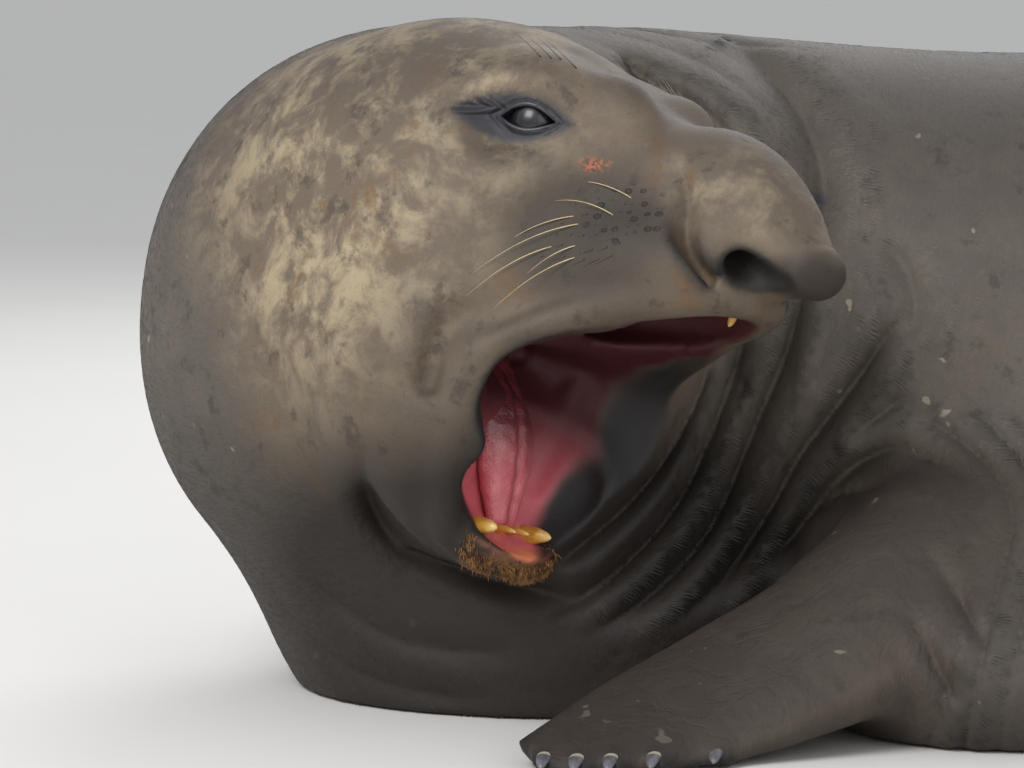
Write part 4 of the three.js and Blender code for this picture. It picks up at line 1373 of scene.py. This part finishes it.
class SEAL_OT_eyes(bpy.types.Operator):
    """Make the wet eyeballs"""

    bl_idname = "seal.eyes"
    bl_label = "Eyes"

    RINGS = 40
    SPOKES = 48
    CORNEA = 0.0016  # how far the clear front stands out
    CORNEA_TURN = 0.62  # and how far round the ball it reaches, in radians
    UNDER_LIDS = 0.0006
    RIM_BALL = mm([47, 34, 31.8])  # radii of the egg that the lids' rims lie on: along, above and out
    RIM = (0.0012, 0.0017)  # the rims' radius in the corners, and what it gains between them
    RIM_STEPS = 33
    RIM_SIDES = 10

    def execute(self, context):
        finish = self.finish()
        rim = self.rim_finish()
        for side, way in SIDES.items():
            points, gazes = self.ball(way)
            mesh = made_mesh(f"eye_{side}", points, self.faces())
            write(mesh, "gaze", gazes)
            show(f"eyeball_{side}", mesh, finish, (f"eye_{side}",))
            mesh = made_mesh(f"lids_{side}", *tubes(*self.lids(way), self.RIM_SIDES))
            show(f"eyelids_{side}", mesh, rim)
        return {"FINISHED"}

    def ball(self, way):
        """Points in rings round the line of sight, and how far from it each looks."""
        centre = from_head(EYE * [1, way, 1]) + OFFSET
        sight = (SIGHT * [1, way, 1]) @ HEAD_AXES
        right = unit(np.cross(sight, UP))
        top = np.cross(right, sight)
        points, gazes = [], []
        for i in range(self.RINGS + 1):
            tilt = math.pi * i / self.RINGS
            bulge = self.CORNEA * math.exp(-((tilt / self.CORNEA_TURN) ** 4))
            for j in range(self.SPOKES if 0 < i < self.RINGS else 1):
                turn = math.tau * j / self.SPOKES
                aside = (right * math.cos(turn) + top * math.sin(turn)) * math.sin(tilt)
                way_out = sight * math.cos(tilt) + aside
                points.append(centre + way_out * (EYE_RADIUS - self.UNDER_LIDS - self.CORNEA + bulge))
                gazes.append(tilt)
        return points, gazes

    def lids(self, way):
        """Paths and radii of the upper and lower rims that lie on the eyeball."""
        length, above, below = LID_OPENING
        long, high, deep = self.RIM_BALL
        t = np.linspace(-1, 1, self.RIM_STEPS)
        paths, radii = [], []
        for height in (above, -below):
            along = t * length
            up = height * (1 - t**2)
            out = deep * np.sqrt(1 - (along / long) ** 2 - (up / high) ** 2)
            place = EYE + out[:, None] * SIGHT + along[:, None] * ALONG_EYE + up[:, None] * ABOVE_EYE
            paths.append(from_head(place * [1, way, 1]) + OFFSET)
            radii.append(self.RIM[0] + self.RIM[1] * (1 - t**2))
        return paths, radii

    def faces(self):
        last = 1 + (self.RINGS - 1) * self.SPOKES
        faces = []
        for j in range(self.SPOKES):
            k = (j + 1) % self.SPOKES
            faces.append([0, 1 + k, 1 + j])
            faces.append([last, last - self.SPOKES + j, last - self.SPOKES + k])
            for i in range(self.RINGS - 2):
                a, b = 1 + i * self.SPOKES + j, 1 + i * self.SPOKES + k
                faces.append([a, b, b + self.SPOKES, a + self.SPOKES])
        return faces

    def finish(self):
        mat = Finish("seal_eye")
        gaze = mat.mask("gaze")
        iris = mat.mix(mat.noise(240.0, 4.0, 0.7).ramp(0.35, 0.7), tint(26, 24, 27), tint(42, 40, 45))
        colour = mat.mix(gaze.ramp(0.26, 0.32), tint(16, 15, 18), iris)
        colour = mat.mix(gaze.ramp(0.74, 0.84), colour, tint(26, 24, 27))
        colour = mat.mix(gaze.ramp(1.1, 1.25), colour, tint(84, 66, 64))
        return mat.finish(colour, 0.34, Coat_Weight=0.3, Coat_Roughness=0.16)

    def rim_finish(self):
        mat = Finish("seal_eyelid")
        grain = mat.noise(160.0, 3.0, 0.6)
        return mat.finish(mat.mix(grain, tint(34, 33, 37), tint(64, 62, 66)), 0.34, grain, 0.0004)


HORN_SIDES = 24
HORN_ENDS = (0.3, 0.5)  # how far the root's and the tip's dome stand out, as shares of the width there


def horn(path, widths, heights, up, sides=HORN_SIDES):
    """A closed horn along a path, as points and faces; the ends are domed."""
    along = unit(np.gradient(path, axis=0))
    side = unit(np.cross(up, along))
    top = np.cross(along, side)
    turn = np.arange(sides) * math.tau / sides
    points = []
    for centre, s, t, w, h in zip(path, side, top, widths, heights):
        points.extend(centre + np.cos(turn)[:, None] * s * w + np.sin(turn)[:, None] * t * h)
    points.append(path[0] - along[0] * widths[0] * HORN_ENDS[0])
    points.append(path[-1] + along[-1] * widths[-1] * HORN_ENDS[1])
    rings = len(path)
    faces = []
    for j in range(sides):
        k = (j + 1) % sides
        faces.append([len(points) - 2, k, j])
        faces.append([len(points) - 1, (rings - 1) * sides + j, (rings - 1) * sides + k])
        for i in range(rings - 1):
            faces.append([i * sides + j, i * sides + k, (i + 1) * sides + k, (i + 1) * sides + j])
    return points, faces


def bent(root, tip, bow, count):
    """Points from root to tip along a shallow bow."""
    t = np.linspace(0, 1, count)[:, None]
    return root + (tip - root) * t + bow * (4 * t * (1 - t))


def tapered(t, radius, fullness, power, least):
    """The radius of a horn at the shares t of its length, blunt at the tip."""
    return radius * np.sqrt(np.clip(fullness - t**power, least, 1))


def show_horn(name, stands_for, finish, path, widths, heights, up):
    """A tooth or claw, that knows how far along itself each point is."""
    mesh = made_mesh(stands_for, *horn(path, widths, heights, up))
    write(mesh, "along", np.append(np.repeat(np.linspace(0, 1, len(path)), HORN_SIDES), [0, 1]))
    show(name, mesh, finish, (stands_for,))


TEETH = {
    "lower_canine": {"root": mm([-52, 42, -448]), "tip": mm([-2, 50, -442]), "radius": 0.0125},
    "lower_incisor": {"root": mm([-46, 10, -444]), "tip": mm([-4, 12, -443]), "radius": 0.0052},
    "upper_canine": {"root": mm([196, 46, -156]), "tip": mm([192, 47, -184]), "radius": 0.007},
}


class SEAL_OT_teeth(bpy.types.Operator):
    """Make the stained canines and incisors"""

    bl_idname = "seal.teeth"
    bl_label = "Teeth"

    STEPS = 18
    BOW = 0.0025
    TAPER = {"fullness": 1.02, "power": 1.7, "least": 0.006}
    FLATNESS = 0.86  # height over width

    def execute(self, context):
        finish = self.finish()
        t = np.linspace(0, 1, self.STEPS)
        for side, way in SIDES.items():
            for name, tooth in TEETH.items():
                root, tip = (from_head(tooth[end] * [1, way, 1]) + OFFSET for end in ("root", "tip"))
                path = bent(root, tip, unit(np.cross(tip - root, LEFT)) * self.BOW, self.STEPS)
                widths = tapered(t, tooth["radius"], **self.TAPER)
                show_horn(f"tooth_{name}_{side}", f"{name}_{side}", finish,
                          path, widths, widths * self.FLATNESS, LEFT)
        return {"FINISHED"}

    def finish(self):
        mat = Finish("seal_tooth")
        ivory = tuple(bpy.context.scene.seal_colours.tooth)
        along = mat.mask("along")
        streaks = mat.noise(90.0, 4.0, 0.6, 0.4)
        colour = mat.mix(streaks.ramp(0.4, 0.7) * 0.6, ivory, tint(150, 92, 36))
        colour = mat.mix(along.ramp(0.65, 1.0) * 0.6, colour, tint(236, 206, 140))
        colour = mat.mix((1 - along.ramp(0.1, 0.4)) * 0.6, colour, tint(140, 84, 40))
        return mat.finish(colour, 0.32, mat.noise(160.0, 3.0), 0.0006, Coat_Weight=0.4)


class SEAL_OT_claws(bpy.types.Operator):
    """Make the five claws of each fore flipper"""

    bl_idname = "seal.claws"
    bl_label = "Claws"

    STEPS = 16
    BOW = np.array([0, 0, 0.0035])
    WIDTH = {"radius": 0.0088, "fullness": 1.01, "power": 2.2, "least": 0.02}
    HEIGHT = {"radius": 0.0052, "fullness": 1.01, "power": 1.6, "least": 0.02}

    def execute(self, context):
        finish = self.finish()
        t = np.linspace(0, 1, self.STEPS)
        widths = tapered(t, **self.WIDTH)
        heights = tapered(t, **self.HEIGHT)
        for side, way in SIDES.items():
            for number, tip in enumerate(CLAW_TIPS, 1):
                ends = []
                for x, y, z in (tip + CLAW_ROOT, tip):
                    ends.append(np.array([x, y if way > 0 else across(x, y), z]) + OFFSET)
                path = bent(*ends, self.BOW, self.STEPS)
                show_horn(f"nail_{side}_{number}", f"claw_{side}_{number}", finish,
                          path, widths, heights, np.array([0, 0, 1.0]))
        return {"FINISHED"}

    def finish(self):
        mat = Finish("seal_claw")
        grey = tuple(bpy.context.scene.seal_colours.claw)
        along = mat.mask("along")
        grain = mat.noise(120.0, 3.0, 0.6, 0.5)
        colour = mat.mix(grain.ramp(0.35, 0.7) * 0.6, grey, tint(54, 52, 54))
        colour = mat.mix(1 - along.ramp(0.3, 0.42), colour, tint(168, 158, 142))
        return mat.finish(colour, 0.36, grain + along * 2.0, 0.0005)


TONGUE = Limb([
    [-95, 0, -262, 40, 22],
    [-60, 0, -318, 46, 25],
    [-44, 0, -380, 40, 22],
    [-36, 0, -430, 24, 12],
], up=(1, 0, 0.3), steps=4)


class SEAL_OT_tongue(bpy.types.Operator):
    """Make the wet, grooved tongue"""

    bl_idname = "seal.tongue"
    bl_label = "Tongue"

    ROOM = mm([[-160, -60, -460], [0, 60, -230]])
    CELL = 0.0028
    GROOVE = {"depth": 0.004, "width": 0.006}
    INSET = 0.001  # from the CAD solid

    def execute(self, context):
        lattice = Lattice(*self.ROOM, self.CELL * (1))
        points, faces = lattice.surface(self.distance)
        points = settled(points, self.distance)
        mesh = made_mesh("tongue", from_head(points) + OFFSET, faces)
        write(mesh, "tip", ramp(-points[:, 2], 0.31, 0.39))
        write(mesh, "groove", 1 - ramp(np.abs(points[:, 1]), 0.0, 0.008))
        show("tongue_wet", mesh, self.finish(), ("tongue",))
        return {"FINISHED"}

    def distance(self, h):
        upper = ramp(h[:, 0] + 0.25 * (h[:, 2] + 0.45), -0.08, -0.03)
        groove = self.GROOVE["depth"] * np.exp(-((h[:, 1] / self.GROOVE["width"]) ** 2)) * upper
        lumps = 0.0012 * wobble(h, 0.006) + 0.002 * wobble(h, 0.03)
        return TONGUE.distance(h) + self.INSET + groove + 0.6 * lumps

    def finish(self):
        mat = Finish("seal_tongue")
        pink = tuple(bpy.context.scene.seal_colours.mouth)
        wet = mat.noise(40.0, 5.0, 0.65, 0.3)
        colour = mat.mix(wet.ramp(0.35, 0.7), pink, tint(224, 128, 130))
        # Painted shade: the back of the tongue, away from its tip, darkens deep in the mouth
        colour = mat.mix((1 - mat.mask("tip")) * 0.92, colour, tint(74, 20, 27))
        # Painted shade along the middle groove
        colour = mat.mix(mat.mask("groove") * 0.5, colour, tint(140, 44, 54))
        return mat.finish(colour, 0.3 + wet * 0.15, wet * 1.5 - mat.cells(420.0), 0.0008, Coat_Weight=0.5)


ROOT_TURNS = 12  # rounds of settling that bring a hair's root onto the skin
HAIR_TAPER = 0.85


def on_skin(points):
    return settled(points, skin_distance, ROOT_TURNS)


def rooted(rows):
    """Hairs given as rows of place, way and length, as the places brought onto the skin, ways and lengths."""
    places, ways, lengths = zip(*rows)
    return on_skin(np.array(places)), ways, lengths


def hairs(roots, ways, lengths, droop, thick, count):
    """Paths and radii of hairs that leave their roots and bend towards the droop."""
    paths, radii = [], []
    t = np.linspace(0, 1, count)
    for root, way, length in zip(roots, ways, lengths):
        paths.append(root + way * length * t[:, None] + droop * length * (t**2)[:, None] + OFFSET)
        radii.append(thick * (1 - HAIR_TAPER * t))
    return paths, radii


class SEAL_OT_whiskers(bpy.types.Operator):
    """Make the whiskers of the muzzle and the brow"""

    bl_idname = "seal.whiskers"
    bl_label = "Whiskers"

    ROWS = 7
    PER_ROW = 6
    FIRST = (178, 128, -58)  # the front whisker of the top row, in mm in the head's frame
    STEP = (-17, -2.5)  # forward and up from each whisker of a row to the next
    ROW_STEP = (-4, -13.5)
    SCATTER = (3, 2.5)
    LONG_SHARE = 0.3  # of the pad's whiskers behind its third column; the others are worn to stubs
    LONG = {"thick": 0.0008, "count": 14}
    STUB = {"thick": 0.0011, "count": 5}
    BROW = {"thick": 0.00075, "count": 9}
    CHEEK_PLACES = [((146, 120, -60), 0.9), ((133, 126, -84), 0.8)]
    BROW_PLACES = [(14, 112, 58), (22, 108, 62), (4, 116, 58), (40, 104, 56)]
    DROOP = np.array([0, 0, -0.32])

    def execute(self, context):
        rng = np.random.default_rng(11)
        length = context.scene.seal_sizes.whisker
        whiskers, stubs, brows = [], [], []
        for way in SIDES.values():
            for row in range(self.ROWS):
                for step in range(self.PER_ROW):
                    forward = self.FIRST[0] + self.ROW_STEP[0] * row + self.STEP[0] * step
                    up = self.FIRST[2] + self.ROW_STEP[1] * row + self.STEP[1] * step
                    forward += rng.normal(0, self.SCATTER[0])
                    up += rng.normal(0, self.SCATTER[1])
                    at = from_head(mm([forward, way * self.FIRST[1], up]))
                    back = unit(-FORWARD * 0.9 + way * LEFT * 0.55 - UP * (0.15 + 0.06 * row))
                    if rng.random() < self.LONG_SHARE and step > 2:
                        whiskers.append((at, back, length * rng.uniform(0.4, 0.95)))
                    else:
                        short = rng.uniform(0.006, 0.012) * (1 + 1.4 * (row > 3))
                        stubs.append((at, unit(back - way * LEFT * 0.3), short))
            upward = unit(-FORWARD * 0.9 + way * LEFT * 0.35 + UP * 0.42)
            for (forward, left, up), long in self.CHEEK_PLACES:
                whiskers.append((from_head(mm([forward, way * left, up])), upward, length * long * 0.75))
        for way in SIDES.values():
            upward = unit(-FORWARD * 0.75 + UP * 0.62 + way * LEFT * 0.3)
            for forward, left, up in self.BROW_PLACES:
                brows.append((from_head(mm([forward, way * left, up])), upward, rng.uniform(0.035, 0.06)))
        paths, radii = hairs(*rooted(whiskers), self.DROOP, **self.LONG)
        mesh = made_mesh("whiskers", *tubes(paths, radii, 6))
        show("whiskers", mesh, self.finish("seal_whisker", tint(206, 190, 150), tint(150, 128, 88)))
        stub_paths, stub_radii = hairs(*rooted(stubs), self.DROOP * 0.3, **self.STUB)
        brow_paths, brow_radii = hairs(*rooted(brows), self.DROOP * 0.3, **self.BROW)
        mesh = made_mesh("bristles", *tubes(stub_paths + brow_paths, stub_radii + brow_radii, 5))
        show("stubs_and_brows", mesh, self.finish("seal_bristle", tint(44, 36, 30), tint(74, 58, 44)))
        return {"FINISHED"}

    def finish(self, name, light, dark):
        mat = Finish(name)
        return mat.finish(mat.mix(mat.noise(70.0, 2.0), light, dark), 0.4)


class SEAL_OT_chin(bpy.types.Operator):
    """Grow the rusty bristles of the chin and the short hairs inside the lips"""

    bl_idname = "seal.chin"
    bl_label = "Chin bristles"

    COUNT = 1100
    STEPS = 200  # places along the rim that a bristle can start from
    RIM = mm([[4, 158, -266], [-6, 150, -336], [-20, 126, -390], [-32, 100, -430], [-34, 75, -458],
              [-18, 46, -480], [2, 18, -492], [8, 0, -495]])
    SPREAD = 0.0045
    INSIDE = mm([-80, 0, -380])  # the bristles stand away from here
    DROOP = np.array([0, 0, -0.3])

    def execute(self, context):
        rng = np.random.default_rng(23)
        t = rng.uniform(0.6, 1, self.COUNT)
        rows = through(self.RIM, self.STEPS)
        at = rows[(t * (self.STEPS - 1)).astype(int)] + rng.normal(0, self.SPREAD, (self.COUNT, 3))
        at[:, 1] *= rng.choice([-1, 1], self.COUNT)
        roots = on_skin(from_head(at))
        outward = unit(to_head(roots) - self.INSIDE)
        ways = unit(outward @ HEAD_AXES + rng.normal(0, 0.35, (self.COUNT, 3)))
        lengths = rng.uniform(0.003, 0.007, self.COUNT)
        paths, radii = hairs(roots, ways, lengths, self.DROOP, 0.0008, 4)
        mesh = made_mesh("chin", *tubes(paths, radii, 4))
        mat = Finish("seal_chin_bristle")
        colour = mat.mix(mat.noise(110.0, 3.0).ramp(0.35, 0.65), tint(74, 50, 32), tint(158, 112, 62))
        show("chin_bristles", mesh, mat.finish(colour, 0.5))
        return {"FINISHED"}


class SEAL_OT_stage(bpy.types.Operator):
    """Set the pale floor, the soft lights and the camera"""

    bl_idname = "seal.stage"
    bl_label = "Stage"

    PITCH = math.radians(5.68)  # the camera looks down by this
    LENS = 146.95  # mm, as is the sensor
    SENSOR = 36
    FLOOR_REACH = 200.0
    # Place from the middle of the shape's tables, size in metres and power in watts
    LIGHTS = {
        "key": ((-2.6, -3.4, 4.2), 3.0, 260.0),
        "fill": ((3.6, -4.6, 2.4), 4.0, 60.0),
        "back": ((1.5, 4.5, 4.0), 4.0, 150.0),
    }
    SKY = {"Color": (0.86, 0.88, 0.92, 1), "Strength": 0.75}

    def execute(self, context):
        scene = context.scene
        corners = [(-1, -1), (1, -1), (1, 1), (-1, 1)]
        square = [(x * self.FLOOR_REACH, y * self.FLOOR_REACH, 0) for x, y in corners]
        floor = bpy.data.objects.new("floor", made_mesh("floor", square, [(0, 1, 2, 3)]))
        scene.collection.objects.link(floor)
        mat = Finish("floor")
        colour = mat.mix(mat.noise(1.5, 3.0) * 0.3, tint(214, 212, 208), tint(200, 198, 194))
        floor.data.materials.append(mat.finish(colour, 0.8))
        target = Vector(from_head(mm([0, 0, -200])) + OFFSET)
        for name, (place, size, power) in self.LIGHTS.items():
            lamp = bpy.data.lights.new(name, "AREA")
            lamp.size = size
            lamp.energy = power
            light = bpy.data.objects.new(name, lamp)
            light.location = Vector(np.array(place) + OFFSET)
            light.rotation_euler = (target - light.location).to_track_quat("-Z", "Y").to_euler()
            scene.collection.objects.link(light)
        world = bpy.data.worlds.new("studio")
        world.use_nodes = True
        for name, value in self.SKY.items():
            world.node_tree.nodes["Background"].inputs[name].default_value = value
        scene.world = world
        camera = bpy.data.objects.new("camera", bpy.data.cameras.new("camera"))
        camera.data.sensor_width = self.SENSOR
        camera.data.lens = self.LENS
        camera.data.clip_end = 500
        camera.location = Vector(CAMERA_AT + OFFSET)
        camera.rotation_euler = (math.pi / 2 - self.PITCH, 0, 0)
        scene.collection.objects.link(camera)
        scene.camera = camera
        scene.view_settings.view_transform = "Standard"
        return {"FINISHED"}


class SEAL_PT_panel(bpy.types.Panel):
    """Lists the pieces of the seal and what can be changed"""

    bl_label = "Elephant seal"
    bl_idname = "SEAL_PT_panel"
    bl_space_type = "VIEW_3D"
    bl_region_type = "UI"
    bl_category = "Seal"

    def draw(self, context):
        for group in (context.scene.seal_sizes, context.scene.seal_colours):
            for name in group.__annotations__:
                self.layout.prop(group, name)
        for operator in OPERATORS:
            self.layout.operator(operator.bl_idname)


OPERATORS = (SEAL_OT_skin, SEAL_OT_coat, SEAL_OT_eyes, SEAL_OT_teeth, SEAL_OT_claws, SEAL_OT_tongue,
             SEAL_OT_whiskers, SEAL_OT_chin, SEAL_OT_stage)
CLASSES = (SealColours, SealSizes, *OPERATORS, SEAL_PT_panel)


def register():
    for made in CLASSES:
        bpy.utils.register_class(made)
    bpy.types.Scene.seal_colours = bpy.props.PointerProperty(type=SealColours)
    bpy.types.Scene.seal_sizes = bpy.props.PointerProperty(type=SealSizes)


def unregister():
    del bpy.types.Scene.seal_sizes
    del bpy.types.Scene.seal_colours
    for made in reversed(CLASSES):
        bpy.utils.unregister_class(made)


def main():
    register()
    for operator in OPERATORS:
        group, name = operator.bl_idname.split(".")
        getattr(getattr(bpy.ops, group), name)()


if __name__ == "__main__":
    main()
